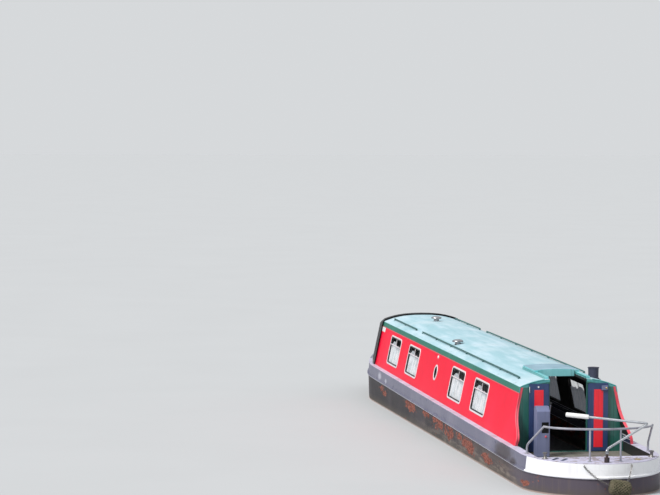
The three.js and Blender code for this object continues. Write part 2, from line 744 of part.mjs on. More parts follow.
// Front bulkhead and cabin floor
const FRONT_X = CABIN_END - 50;
const frontLower = box(FRONT_X, FRONT_X + BULKHEAD_THICK, -COCKPIT_HALF + 1, COCKPIT_HALF - 1, BASE_PLATE + GAP,
  GUNWALE_Z + 2);
add("front_bulkhead", upperBulkhead(FRONT_X, FRONT_X + BULKHEAD_THICK).add(frontLower), PAINT.green);

const FLOOR_HALF = 960;
const BEARER_X = [1500, 4000, 6500, 9000, 11000];
const BEARER_WIDE = 60;
const floorBoards = box(STERN_SPLIT + 20, FRONT_X - 10, -FLOOR_HALF, FLOOR_HALF, FLOOR_Z, FLOOR_Z + FLOOR_THICK);
const bearers = BEARER_X.map((x) => (
  box(x, x + BEARER_WIDE, 20 - FLOOR_HALF, FLOOR_HALF - 20, BASE_PLATE + GAP, FLOOR_Z + 1)
));
add("cabin_floor", join([floorBoards, ...bearers]), PAINT.wood, 0, 0.8);

// Cratch: the board at the fore end of the well and the canvas cover over it
const COVER_START = CABIN_END - 110;
const COVER_END = WELL_END + 40;
function coverRing(x, out) {
  const t = (x - CABIN_END) / (COVER_END - CABIN_END);
  const shrink = x <= CABIN_END ? 1 : 1 - 0.17 * t;
  const drop = x <= CABIN_END ? 0 : -120 * t;
  const lift = x <= CABIN_END ? 0 : bowRise(x);
  const foot = GUNWALE_Z + lift + 2;
  return cabinProfile(GUNWALE_Z + 2, out).map(([y, z], i, all) => {
    const bottom = i === 0 || i === all.length - 1;
    return [x, y * shrink, bottom ? foot : z + drop + lift * 0.4];
  });
}

const COVER_OUT = 28;
const COVER_THICK = 14;
function openFoot(ring) {
  return ring.map(([x, y, z], i) => [x, y, i === 0 || i === ring.length - 1 ? z - 40 : z]);
}

const coverOuter = loft([COVER_START, CABIN_END, COVER_END].map((x) => coverRing(x, COVER_OUT)), "x");
const coverInner = loft(
  [COVER_START - 40, CABIN_END, COVER_END - COVER_THICK].map((x) => openFoot(coverRing(x, COVER_OUT - COVER_THICK))),
  "x",
);
const coverCut = loftDisc(foredeckRings(1.5, 300)).add(prismX([
  [-1300, 900],
  [1300, 900],
  [1300, GUNWALE_Z + 1.5],
  [-1300, GUNWALE_Z + 1.5],
], COVER_START - 50, CABIN_END + 80));
add("cratch_cover", coverOuter.subtract(coverInner).subtract(coverCut), PAINT.canvas, 0, 0.9);

// The cratch board stands on the side decks
const BOARD_SEAT = 0.9;
const boardRing = coverRing(WELL_END - 40, 0).map(([, y, z], i, all) => (
  [y, i === 0 || i === all.length - 1 ? z - BOARD_SEAT : z]
));
const cratchBoard = prismX(boardRing, WELL_END - 60, WELL_END - 30);
add("cratch_board", cratchBoard, PAINT.navy);

// Roof furniture
function handrail(side, x0, x1, posts) {
  const y = side * 590;
  const foot = roofZ(y) + 0.8;
  const railZ = ROOF_EDGE_Z + 78;
  const inset = 45;
  const feet = Array.from({ length: posts }, (_, k) => x0 + inset + ((x1 - x0 - 2 * inset) * k) / (posts - 1));
  const bar = rod([x0, y, railZ], [x1, y, railZ], 13, 8);
  return join([bar, ...feet.map((x) => rod([x, y, foot - 2.5], [x, y, railZ], 10, 8))]);
}

const RAILS = [
  { name: "handrail_port_aft", side: 1, x0: 640, x1: 8240, posts: 7 },
  { name: "handrail_port_fore", side: 1, x0: 8760, x1: 11000, posts: 3 },
  { name: "handrail_starboard_aft", side: -1, x0: 1300, x1: 8240, posts: 7 },
  { name: "handrail_starboard_fore", side: -1, x0: 8760, x1: 11000, posts: 3 },
];
for (const { name, side, x0, x1, posts } of RAILS) {
  add(name, handrail(side, x0, x1, posts).subtract(roofTop), PAINT.green);
}

const chimneyAt = [500, -515];
const chimneyFoot = ROOF_EDGE_Z - 30;
const chimney = lathe([
  [0, 0],
  [112, 0],
  [112, 78],
  [86, 92],
  [78, 96],
  [80, 252],
  [88, 254],
  [88, 262],
  [70, 262],
  [70, 150],
  [0, 150],
], chimneyAt[0], chimneyAt[1], chimneyFoot);
add("chimney", chimney.subtract(roofTop), PAINT.navy);

const VENTS = [
  { x: 5790, y: 460 },
  { x: 9900, y: 0 },
];
VENTS.forEach(({ x, y }, i) => {
  const vent = lathe([
    [0, -60],
    [48, -60],
    [48, 46],
    [92, 52],
    [96, 64],
    [70, 84],
    [0, 94],
  ], x, y, roofZ(y));
  add(`roof_vent_${i + 1}`, vent.subtract(roofTop), PAINT.steel, 0.6, 0.4);
});

// Stern gear that stays put: guard rail, control pedestal, mooring studs and fenders
const RAIL_RADIUS = 16;
const RAIL_Z = 1560;
const RAIL_REACH = 800;
const RAIL_AFT = -2130;
const RAIL_TURN = -1680;
const RAIL_FOOT = [-1150, 900];
const RAIL_POSTS = [0.41, 0.59];
function guardRail() {
  const arc = [];
  const steps = 12;
  for (let k = 0; k <= steps; k++) {
    const angle = (Math.PI * k) / steps;
    arc.push([RAIL_TURN + (RAIL_AFT - RAIL_TURN) * Math.sin(angle), RAIL_REACH * Math.cos(angle), RAIL_Z]);
  }
  const foot = GUNWALE_Z + GAP;
  const corners = [
    [RAIL_FOOT[0], RAIL_FOOT[1], foot],
    [RAIL_FOOT[0], RAIL_FOOT[1], foot + 120],
    ...arc,
    [RAIL_FOOT[0], -RAIL_FOOT[1], foot + 120],
    [RAIL_FOOT[0], -RAIL_FOOT[1], foot],
  ];
  const posts = RAIL_POSTS.map((share) => {
    const angle = Math.PI * share;
    const x = RAIL_TURN + (RAIL_AFT - RAIL_TURN) * Math.sin(angle);
    const y = RAIL_REACH * Math.cos(angle);
    return rod([x, y, foot], [x, y, RAIL_Z], 14, 10);
  });
  return join([bentBar(corners, 70, RAIL_RADIUS, 10), ...posts]);
}

add("guard_rail", guardRail(), PAINT.white, 0.4, 0.35);

const PEDESTAL_TOP = 1690;
const pedestalAt = { x0: -515, x1: -320, y0: 405, y1: 600 };
const pedestalSide = [
  [pedestalAt.x0, boardTop + GAP],
  [pedestalAt.x1, boardTop + GAP],
  [pedestalAt.x1, PEDESTAL_TOP - 40],
  [pedestalAt.x1 - 40, PEDESTAL_TOP],
  [pedestalAt.x0 + 60, PEDESTAL_TOP],
  [pedestalAt.x0, PEDESTAL_TOP - 70],
];
const pedestalBody = prismY(pedestalSide, pedestalAt.y0, pedestalAt.y1);
const recess = box(pedestalAt.x0 - 10, pedestalAt.x0 + 60, pedestalAt.y0 + 16, pedestalAt.y0 + 122, 1300, 1460);
add("control_pedestal", pedestalBody.subtract(recess), 0x8a90a8);

function stud(x, y, z, tall = 95) {
  const foot = [[0, 0], [44, 0], [44, 8], [24, 14]];
  const head = [[22, tall - 24], [36, tall - 16], [36, tall - 4], [30, tall], [0, tall]];
  return lathe([...foot, ...head], x, y, z, 16);
}

add("mooring_stud_port", stud(-1750, 780, GUNWALE_Z + GAP), PAINT.black);
add("mooring_stud_starboard", stud(-1750, -780, GUNWALE_Z + GAP), PAINT.black);

const bowStudX = 13500;
const bowPost = stud(bowStudX, 0, GUNWALE_Z + bowRise(bowStudX) - 20, 190);
add("bow_mooring_post", bowPost.subtract(loftDisc(foredeckRings(GAP, 100))), PAINT.black);

// A rope fender hangs a little to starboard of the rudder from two chains on the counter
const FENDER_RADIUS = 112;
const FENDER_LONG = 285;
const fenderAt = [STERN_TIP - FENDER_RADIUS - 30, -115, 780];
const fenderTilt = THREE.MathUtils.degToRad(9);
const sternFender = lathe([
  [0, 0],
  [58, 6],
  [FENDER_RADIUS, 44],
  [FENDER_RADIUS, FENDER_LONG - 44],
  [58, FENDER_LONG - 6],
  [0, FENDER_LONG],
], 0, 0, -FENDER_LONG / 2, 14);
const fenderTurn = new THREE.Matrix4()
  .makeTranslation(...fenderAt)
  .multiply(new THREE.Matrix4().makeRotationX(Math.PI / 2 + fenderTilt));
add("stern_fender", moved(sternFender, fenderTurn), PAINT.rope, 0, 0.95);

const CHAINS = [
  { name: "fender_chain_port", eyeY: 350, endY: 10, endZ: 790 },
  { name: "fender_chain_starboard", eyeY: -330, endY: -235, endZ: 850 },
];
for (const { name, eyeY, endY, endZ } of CHAINS) {
  const eyeZ = GUNWALE_Z - 45;
  const reach = STERN_START - STERN_TIP;
  const eyeX = STERN_START - reach * Math.sqrt(1 - (eyeY / GUNWALE_HALF) ** 2);
  const bar = bentBar([
    [eyeX + 30, eyeY, eyeZ],
    [eyeX - 26, eyeY, eyeZ],
    [fenderAt[0] + 30, endY, endZ],
  ], 10, 7, 8);
  const fenderSolid = moved(sternFender, fenderTurn);
  add(name, bar.subtract(hullClear).subtract(fenderSolid), PAINT.steel, 0.6, 0.5);
}

const stemZ = GUNWALE_Z + BOW_RISE;
const bowFender = lathe([
  [0, 0],
  [70, 10],
  [105, 60],
  [105, 250],
  [60, 330],
  [0, 345],
], BOW_TIP + 84, 0, stemZ - 262, 14);
const stemHead = prismZ(outline(LEVELS.gunwale, GAP), stemZ - 40, stemZ + 40);
add("bow_fender", bowFender.subtract(hullClear).subtract(stemHead), PAINT.rope, 0, 0.95);

// Steering: rudder, stock and tiller turn together about the stock
const stockFoot = 40 + GAP;
const steering = new THREE.Group();
steering.position.set(STOCK_X, 0, 0);
steering.rotation.z = TILLER_SWING;
group.add(steering);

const stockTop = GUNWALE_Z + 120;
const blade = prismY([
  [-340, 90],
  [-320, 70],
  [150, 70],
  [150, 500],
  [130, 520],
  [-300, 520],
  [-340, 480],
], -8, 8);
const stock = rod([0, 0, stockFoot], [0, 0, stockTop], STOCK_RADIUS, 16);
const collar = rod([0, 0, GUNWALE_Z + 1], [0, 0, GUNWALE_Z + 70], 38, 16);
add("rudder", join([blade, stock, collar]), PAINT.black, 0.2, 0.6, steering);

const NECK_BEND = 1290;
const APEX = [-580, 1673];
const BAR_END = [591, 1755];
const GRIP_LONG = 330;
const gripX = BAR_END[0] - GRIP_LONG;
const gripZ = APEX[1] + ((BAR_END[1] - APEX[1]) * (gripX - APEX[0])) / (BAR_END[0] - APEX[0]);
const tillerLine = [[0, 0, stockTop + GAP], [0, 0, NECK_BEND], [APEX[0], 0, APEX[1]], [gripX, 0, gripZ]];
add("tiller", bentBar(tillerLine, 40, TILLER_RADIUS, 12), PAINT.steel, 0.7, 0.3, steering);
const gripStart = new THREE.Vector3(gripX, 0, gripZ);
const gripEnd = new THREE.Vector3(BAR_END[0], 0, BAR_END[1]);
const gripAxis = gripEnd.clone().sub(gripStart).normalize();
gripStart.addScaledVector(gripAxis, GAP);
add("tiller_grip", rod(gripStart.toArray(), gripEnd.toArray(), 33, 16, 30), PAINT.white, 0, 0.5, steering);

// Propulsion: stern tube, propeller with its shaft, and the engine as one block
const SHAFT_RADIUS = 19;
const tube = rod([SWIM_TIP - 130, 0, SHAFT_Z], [SWIM_TIP + 60, 0, SHAFT_Z], TUBE_RADIUS, 20);
const shaftBore = rod([SWIM_TIP - 200, 0, SHAFT_Z], [SWIM_TIP + 100, 0, SHAFT_Z], SHAFT_RADIUS + 0.7, 20);
add("stern_tube", tube.subtract(shaftBore), PAINT.black);

function bladeOfPropeller(k) {
  const steps = 6;
  const rings = [];
  for (let i = 0; i <= steps; i++) {
    const t = i / steps;
    const radius = 28 + (PROPELLER_RADIUS - 28) * t;
    const chord = 150 * Math.sin(Math.PI * (0.18 + 0.74 * t)) + 14;
    const pitch = 1.05 - 0.5 * t;
    const section = [];
    for (const [u, w] of [[-0.5, 0], [-0.2, 1], [0.2, 1], [0.5, 0], [0.2, -1], [-0.2, -1]]) {
      const across = u * chord;
      const thick = w * (7 - 3.5 * t);
      section.push([
        PROPELLER_X + across * Math.sin(pitch) + thick * Math.cos(pitch),
        across * Math.cos(pitch) - thick * Math.sin(pitch),
        SHAFT_Z + radius,
      ]);
    }
    rings.push(section);
  }
  const turn = new THREE.Matrix4()
    .makeTranslation(0, 0, SHAFT_Z)
    .multiply(new THREE.Matrix4().makeRotationX((2 * Math.PI * k) / 3))
    .multiply(new THREE.Matrix4().makeTranslation(0, 0, -SHAFT_Z));
  return moved(loftDisc(rings), turn);
}

const hub = rod([PROPELLER_X - 70, 0, SHAFT_Z], [PROPELLER_X + 70, 0, SHAFT_Z], 44, 20, 52);
const cone = rod([PROPELLER_X - 120, 0, SHAFT_Z], [PROPELLER_X - 69, 0, SHAFT_Z], 12, 20, 42);
const shaft = rod([PROPELLER_X + 60, 0, SHAFT_Z], [ENGINE_AFT - 5, 0, SHAFT_Z], SHAFT_RADIUS, 16);
add("propeller", join([hub, cone, shaft, ...[0, 1, 2].map(bladeOfPropeller)]), PAINT.bronze, 0.8, 0.35);

add("engine_block", box(ENGINE_AFT, ENGINE_AFT + 640, -185, 185, BASE_PLATE + GAP, 620), PAINT.engine);

export default group;
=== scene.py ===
"""Dresses the steel narrowboat in paint, glass, cloth, timber, rope and steel, and sets up the studio."""
import json
import logging
import math
from dataclasses import dataclass
from enum import Enum
from typing import Callable, Iterable, Sequence

import bmesh
import bpy
from mathutils import Matrix, Vector, noise


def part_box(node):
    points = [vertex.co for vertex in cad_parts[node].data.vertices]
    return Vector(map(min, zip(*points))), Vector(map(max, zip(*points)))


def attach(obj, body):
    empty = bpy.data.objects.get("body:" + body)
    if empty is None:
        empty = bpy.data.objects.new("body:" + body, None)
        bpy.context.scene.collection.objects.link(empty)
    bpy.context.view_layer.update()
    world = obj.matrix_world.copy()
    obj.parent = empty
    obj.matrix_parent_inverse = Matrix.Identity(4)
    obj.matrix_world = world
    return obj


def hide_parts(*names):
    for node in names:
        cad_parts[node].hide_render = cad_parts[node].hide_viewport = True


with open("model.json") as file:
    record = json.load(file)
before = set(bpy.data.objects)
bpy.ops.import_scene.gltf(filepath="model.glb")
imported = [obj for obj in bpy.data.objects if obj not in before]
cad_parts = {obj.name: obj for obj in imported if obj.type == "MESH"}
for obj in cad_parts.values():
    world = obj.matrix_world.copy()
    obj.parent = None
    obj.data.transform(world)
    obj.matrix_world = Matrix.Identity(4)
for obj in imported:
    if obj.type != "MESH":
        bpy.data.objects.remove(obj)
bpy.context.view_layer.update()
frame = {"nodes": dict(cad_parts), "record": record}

LOG = logging.getLogger("narrowboat")
Colour = tuple[float, float, float]
Point = tuple[float, float, float]
Pair = tuple[float, float]
Outline = Sequence[Pair]
Socket = bpy.types.NodeSocket
Node = bpy.types.Node
Tree = bpy.types.NodeTree
SIDES = ((1, "port"), (-1, "starboard"))

# Sizes that the pieces share, in metres. A station is counted from the aft edge of the cabin roof.
MIDSHIP = 6.1
GUNWALE = 1.1
RISE_START = 11.52
BOW_TIP = 14.2
BOW_RISE = 0.23
FOOT_HALF = 0.9
ROOF_HALF = 0.73
ROOF_EDGE = 1.925
ROOF_CROWN = 0.125
ROOF_FULLNESS = 2.6
CANT_TALL = 0.088
BOARD_TOP = 0.95
WATER_AT_MIDSHIP = 0.5061
WATER_SLOPE = -0.0144
GREEN_FROM = 1.837
LEAN = math.atan2(FOOT_HALF - ROOF_HALF, ROOF_EDGE - GUNWALE)


def row(station: float) -> float:
    """X in the row frame of a station."""
    return station - MIDSHIP


def at(station: float, y: float, z: float) -> Vector:
    """A point in the row frame, from a station."""
    return Vector((station - MIDSHIP, y, z))


def placed(station: float, y: float, z: float, angle: float = 0.0, axis: str = "Z") -> Matrix:
    """A matrix that turns a thing about an axis and sets it at a station."""
    return Matrix.Translation(at(station, y, z)) @ Matrix.Rotation(angle, 4, axis)


def facing_aft(station: float, y: float, z: float) -> Matrix:
    """A matrix that sets a turned thing at a station with its top towards the stern."""
    return placed(station, y, z, -math.pi / 2, "Y")


def along_axis(foot: Vector, axis: Vector) -> Matrix:
    """A matrix that sets a turned thing on its foot, with its top along an axis."""
    return Matrix.Translation(foot) @ axis.to_track_quat("Z", "Y").to_matrix().to_4x4()


def roof_z(y: float) -> float:
    """Height of the roof's skin at a distance from the centreline."""
    return ROOF_EDGE + ROOF_CROWN * (1 - min(1.0, abs(y / ROOF_HALF)) ** ROOF_FULLNESS)


def bow_rise(station: float) -> float:
    """How far the sheer line has risen at a station."""
    t = max(0.0, (station - RISE_START) / (BOW_TIP - RISE_START))
    return BOW_RISE * t * t


def turns(count: int) -> list[float]:
    """The angles of points that are spread evenly round a circle."""
    return [2 * math.pi * k / count for k in range(count)]


def circle(radius: float, count: int) -> Outline:
    """Points round a circle, centred."""
    return [(radius * math.cos(a), radius * math.sin(a)) for a in turns(count)]


def lifted(outline: Outline, height: float, matrix: Matrix) -> list[Vector]:
    """An outline at a height over its plane, placed by a matrix."""
    return [matrix @ Vector((x, y, height)) for x, y in outline]


def rounded(wide: float, tall: float, corner: float, arcs: int = 8) -> Outline:
    """Outline of a rectangle with round corners, centred, anticlockwise.

    Args:
        wide: Width.
        tall: Height.
        corner: Radius of the corners.
        arcs: Spans of each corner.

    Returns:
        The outline's points.
    """
    outline = []
    for quarter, (sx, sy) in enumerate([(1, 1), (-1, 1), (-1, -1), (1, -1)]):
        for k in range(arcs + 1):
            angle = math.pi / 2 * (quarter + k / arcs)
            outline.append((sx * (wide / 2 - corner) + corner * math.cos(angle),
                            sy * (tall / 2 - corner) + corner * math.sin(angle)))
    return outline


def flowing(points: Sequence[Point], steps: int) -> list[Vector]:
    """Draws a smooth line through points.

    Args:
        points: The points that the line passes through.
        steps: Number of spans over the whole line.

    Returns:
        The points of the line, ends included.
    """
    given = [Vector(p) for p in points]
    line = []
    for k in range(steps + 1):
        place = (len(given) - 1) * k / steps
        i = min(int(place), len(given) - 2)
        t = place - i
        before, a = given[max(0, i - 1)], given[i]
        b, after = given[i + 1], given[min(len(given) - 1, i + 2)]
        line.append(0.5 * (2 * a + (b - before) * t + (2 * before - 5 * a + 4 * b - after) * t * t
                           + (3 * a - before - 3 * b + after) * t ** 3))
    return line


def bent(corners: Sequence[Point], radius: float, steps: int = 6) -> list[Vector]:
    """Rounds the corners of a run of straight bars.

    Args:
        corners: The corners, ends included.
        radius: How far from each corner its bend starts.
        steps: Spans of each bend.

    Returns:
        The points of the centreline.
    """
    given = [Vector(p) for p in corners]
    line = [given[0]]
    for i in range(1, len(given) - 1):
        back, ahead = given[i - 1] - given[i], given[i + 1] - given[i]
        room = min(radius, back.length / 2.1, ahead.length / 2.1)
        a, b = given[i] + back.normalized() * room, given[i] + ahead.normalized() * room
        for k in range(steps + 1):
            t = k / steps
            line.append(a * (1 - t) ** 2 + given[i] * 2 * t * (1 - t) + b * t * t)
    line.append(given[-1])
    return line


def link(thing: bpy.types.Object) -> bpy.types.Object:
    """Puts an object into the scene."""
    bpy.context.scene.collection.objects.link(thing)
    return thing


# Node trees


@dataclass(frozen=True)
class Value:
    """What a node puts out, to count with: a number, a vector, a colour or a geometry."""

    graph: "Graph"
    socket: Socket

    def __add__(self, other: "Feed") -> "Value":
        """The sum of this and another."""
        return self.graph.math("ADD", self, other)

    def __sub__(self, other: "Feed") -> "Value":
        """This less another."""
        return self.graph.math("SUBTRACT", self, other)

    def __rsub__(self, other: float) -> "Value":
        """A number less this."""
        return self.graph.math("SUBTRACT", other, self)

    def __mul__(self, other: "Feed") -> "Value":
        """This times another."""
        return self.graph.math("MULTIPLY", self, other)

    def __abs__(self) -> "Value":
        """This without its sign."""
        return self.graph.math("ABSOLUTE", self)


Feed = Value | float | int | bool | str | tuple | bpy.types.ID
Values = dict[str, Value]
Feeds = dict[str | int, Feed]


class Graph:
    """Fills in a node tree step by step."""

    def __init__(self, tree: Tree) -> None:
        """Starts on a tree."""
        self.tree = tree

    def feed(self, socket: Socket, value: Feed) -> None:
        """Links a socket to a value, or sets its number or colour.

        Args:
            socket: The input.
            value: What goes into it.
        """
        if isinstance(value, Value):
            self.tree.links.new(value.socket, socket)
        elif isinstance(value, tuple) and socket.type == "RGBA":
            socket.default_value = (*value, 1.0)
        else:
            socket.default_value = value

    def add(self, kind: str, feeds: Feeds | None = None, **settings: Feed) -> Node:
        """Adds a node.

        Args:
            kind: The node's type.
            feeds: What goes into its inputs, by name or number.
            settings: Its own settings.

        Returns:
            The node.
        """
        node = self.tree.nodes.new(kind)
        for name, value in settings.items():
            setattr(node, name, value)
        for name, value in (feeds or {}).items():
            self.feed(node.inputs[name], value)
        return node

    def value(self, kind: str, feeds: Feeds | None = None, out: int | str = 0, **settings: Feed) -> Value:
        """Adds a node and gives one of its outputs, by name or number."""
        return Value(self, self.add(kind, feeds, **settings).outputs[out])

    def outputs(self, node: Node) -> Values:
        """All that a node puts out, by name."""
        return {socket.name: Value(self, socket) for socket in node.outputs}

    def math(self, operation: str, a: Feed, b: Feed = 0.0) -> Value:
        """A sum, product or other operation on two numbers or two vectors."""
        vector = isinstance(a, Value) and a.socket.type == "VECTOR"
        kind = "ShaderNodeVectorMath" if vector else "ShaderNodeMath"
        return self.value(kind, {0: a, 1: b}, operation=operation)

    def mix(self, share: Feed, a: Feed, b: Feed) -> Value:
        """A colour between two, by a share."""
        return self.value("ShaderNodeMix", {0: share, 6: a, 7: b}, 2, data_type="RGBA")

    def span(self, value: Feed, low: float, high: float, to_low: float = 0.0,
             to_high: float = 1.0) -> Value:
        """Spreads a range of a value, which may run downwards, smoothly over another range."""
        feeds = {"Value": value, "From Min": low, "From Max": high, "To Min": to_low, "To Max": to_high}
        return self.value("ShaderNodeMapRange", feeds, interpolation_type="SMOOTHSTEP")

    def noise(self, place: Feed, scale: Feed, detail: float = 3.0, rough: float = 0.55) -> Value:
        """A noise value from 0 to 1 at a place."""
        feeds = {"Vector": place, "Scale": scale, "Detail": detail, "Roughness": rough}
        return self.value("ShaderNodeTexNoise", feeds)

    def place(self, kind: str = "Object") -> Value:
        """The place on the piece in metres: in the row frame, or on its cloth for UV."""
        return self.value("ShaderNodeTexCoord", out=kind)

    def axes(self, place: Feed) -> tuple[Value, ...]:
        """The three coordinates of a place."""
        node = self.add("ShaderNodeSeparateXYZ", {0: place})
        return tuple(Value(self, socket) for socket in node.outputs)

    def tone(self, step: Value) -> Value:
        """A random number from 0 to 1 for each whole step of a value."""
        feeds = {"W": self.math("FLOOR", step)}
        return self.value("ShaderNodeTexWhiteNoise", feeds, noise_dimensions="1D")

    def bump(self, height: Feed, strength: float, depth: float = 0.001) -> Value:
        """A surface normal with relief of a height from 0 to 1, to a depth in metres."""
        return self.value("ShaderNodeBump", {"Height": height, "Strength": strength, "Distance": depth})


Effect = Callable[..., Values]


def shared(**inputs: float | None) -> Callable[[Callable[[Graph, Values], Values]], Effect]:
    """Makes a shader node group of the function that wires it.

    Args:
        inputs: Starting value of each input that is a number, and None for a vector.

    Returns:
        What turns the wiring function into one that places the group in a graph.
    """
    def wrap(wire: Callable[[Graph, Values], Values]) -> Effect:
        """Keeps the wiring for the group's first use."""
        def tree() -> Tree:
            """Makes the group."""
            made = bpy.data.node_groups.new(wire.__name__, "ShaderNodeTree")
            for label, start in inputs.items():
                kind = "NodeSocketVector" if start is None else "NodeSocketFloat"
                socket = made.interface.new_socket(label, in_out="INPUT", socket_type=kind)
                if start is not None:
                    socket.default_value = start
            graph = Graph(made)
            results = wire(graph, graph.outputs(graph.add("NodeGroupInput")))
            for label, value in results.items():
                colour = value.socket.type == "RGBA"
                made.interface.new_socket(
                    label, in_out="OUTPUT",
                    socket_type="NodeSocketColor" if colour else "NodeSocketFloat")
            graph.add("NodeGroupOutput", results)
            return made

        def place(g: Graph, **feeds: Feed) -> Values:
            """Places the group in a graph, with its inputs by name."""
            known = bpy.data.node_groups.get(wire.__name__) or tree()
            return g.outputs(g.add("ShaderNodeGroup", feeds, node_tree=known))

        return place

    return wrap


@shared(Place=None, Size=1.2)
def weather(g: Graph, given: Values) -> Values:
    """Blotches, rain streaks and fine grain that open-air paint gets.

    Args:
        g: The group's graph.
        given: Its inputs.

    Returns:
        Its outputs.
    """
    place = given["Place"]
    scaled = g.value("ShaderNodeVectorMath", {0: place, "Scale": given["Size"]}, operation="SCALE")
    grain = g.noise(place, 240.0, 2.0, 0.5)
    return {
        "Blotch": g.span(g.noise(scaled, 1.0, 4.0, 0.6), 0.4, 0.72),
        "Streak": g.span(g.noise(place * (16.0, 16.0, 1.3), 1.0, 3.0, 0.6), 0.48, 0.78),
        "Grain": grain,
        "Height": grain * 0.3 + g.noise(place, 26.0, 2.0) * 0.7,
    }


@shared(Place=None, Amount=0.0)
def rust(g: Graph, given: Values) -> Values:
    """Rust that breaks through paint, more of it where Amount is higher.

    Args:
        g: The group's graph.
        given: Its inputs.

    Returns:
        Its outputs.
    """
    place = given["Place"]
    base = g.noise(place, 7.0, 6.0, 0.68)
    edge = g.noise(place, 38.0, 4.0, 0.6)
    value = base * 0.75 + edge * 0.25
    tint = g.mix(g.noise(place, 21.0, 3.0), (0.30, 0.105, 0.075), (0.42, 0.17, 0.13))
    return {
        "Mask": g.span(value + given["Amount"] * 0.3, 0.62, 0.66),
        "Tint": g.mix(g.span(edge, 0.35, 0.7), (0.14, 0.05, 0.04), tint),
        "Height": edge,
    }


@shared(Place=None, Centre=None, Half=None)
def patch(g: Graph, given: Values) -> Values:
    """A soft ragged spot round a centre, such as a scrape or a rust patch.

    Args:
        g: The group's graph.
        given: Its inputs.

    Returns:
        Its output.
    """
    place = given["Place"]
    away = g.math("DIVIDE", place - given["Centre"], given["Half"])
    far = g.value("ShaderNodeVectorMath", {0: away}, "Value", operation="LENGTH")
    return {"Mask": g.span(far + g.noise(place, 9.0, 4.0, 0.65) * 0.9, 1.65, 0.8)}


@shared(Cloth=None, Threads=500.0)
def weave(g: Graph, given: Values) -> Values:
    """Crossing threads, with their height and the holes between them.

    Args:
        g: The group's graph.
        given: Its inputs.

    Returns:
        Its outputs.
    """
    x, y, _ = g.axes(given["Cloth"])
    turn = given["Threads"] * math.pi
    warp, weft = abs(g.math("SINE", x * turn)), abs(g.math("SINE", y * turn))
    height = g.math("MAXIMUM", warp, weft)
    return {"Height": height, "Hole": g.span(height, 0.62, 0.3)}


# Finishes


@dataclass(frozen=True)
class Finish:
    """A finish with a name and the roughness that most of its surface has."""

    label: str
    rough: float

    def material(self) -> bpy.types.Material:
        """Gives the finish's material, made at the first call.

        Returns:
            The material.
        """
        known = bpy.data.materials.get(self.label)
        if known:
            return known
        made = bpy.data.materials.new(self.label)
        made.use_nodes = True
        graph = Graph(made.node_tree)
        shader = made.node_tree.nodes["Principled BSDF"]
        shader.inputs["Roughness"].default_value = self.rough
        for name, value in self.paint(graph).items():
            graph.feed(shader.inputs[name], value)
        return made

    def paint(self, g: Graph) -> Feeds:
        """Wires the pattern of the finish, and gives the shader's inputs by name."""
        raise NotImplementedError


@dataclass(frozen=True)
class Paint(Finish):
    """Plain brushed or sprayed paint that has stood in the open."""

    base: Colour
    faded: Colour
    grime: Colour
    dirt: float = 0.35
    coat: float = 0.0
    relief: float = 0.15

    def paint(self, g: Graph) -> Feeds:
        """Wires fading, streaks and grime.

        Args:
            g: The material's graph.

        Returns:
            The shader's inputs, by name.
        """
        worn = weather(g, Place=g.place(), Size=1.6)
        colour = g.mix(worn["Blotch"], self.base, self.faded)
        matt = min(1.0, self.rough * 1.2)
        return {
            "Base Color": g.mix(worn["Streak"] * self.dirt, colour, self.grime),
            "Roughness": g.span(worn["Blotch"], 0, 1, self.rough * 0.85, matt),
            "Coat Weight": self.coat,
            "Coat Roughness": 0.12,
            "Normal": g.bump(worn["Height"], self.relief),
        }


@dataclass(frozen=True)
class CabinPaint(Finish):
    """Gloss red cabin side under a dark green band along the roof's edge."""

    red: Colour = (0.86, 0.004, 0.036)
    faded_red: Colour = (0.92, 0.012, 0.054)
    streaked_red: Colour = (0.58, 0.02, 0.035)
    splashed_red: Colour = (0.60, 0.05, 0.06)
    splash: Pair = (1.22, 1.1)
    green: Colour = (0.035, 0.175, 0.13)
    faded_green: Colour = (0.06, 0.235, 0.18)
    streaked_green: Colour = (0.02, 0.09, 0.065)

    def paint(self, g: Graph) -> Feeds:
        """Wires the two colours, their fading, the streaks and the splashes at the foot.

        Args:
            g: The material's graph.

        Returns:
            The shader's inputs, by name.
        """
        place = g.place()
        z = g.axes(place)[2]
        worn = weather(g, Place=place, Size=0.8)
        red = g.mix(worn["Blotch"], self.red, self.faded_red)
        red = g.mix(worn["Streak"] * 0.22, red, self.streaked_red)
        red = g.mix(g.span(z, *self.splash) * 0.25, red, self.splashed_red)
        green = g.mix(worn["Blotch"], self.green, self.faded_green)
        green = g.mix(worn["Streak"] * 0.4, green, self.streaked_green)
        band = g.span(z, GREEN_FROM - 0.001, GREEN_FROM + 0.001)
        return {
            "Base Color": g.mix(band, red, green),
            "Specular IOR Level": 0.1,
            "Normal": g.bump(worn["Height"], 0.08, 0.0015),
        }


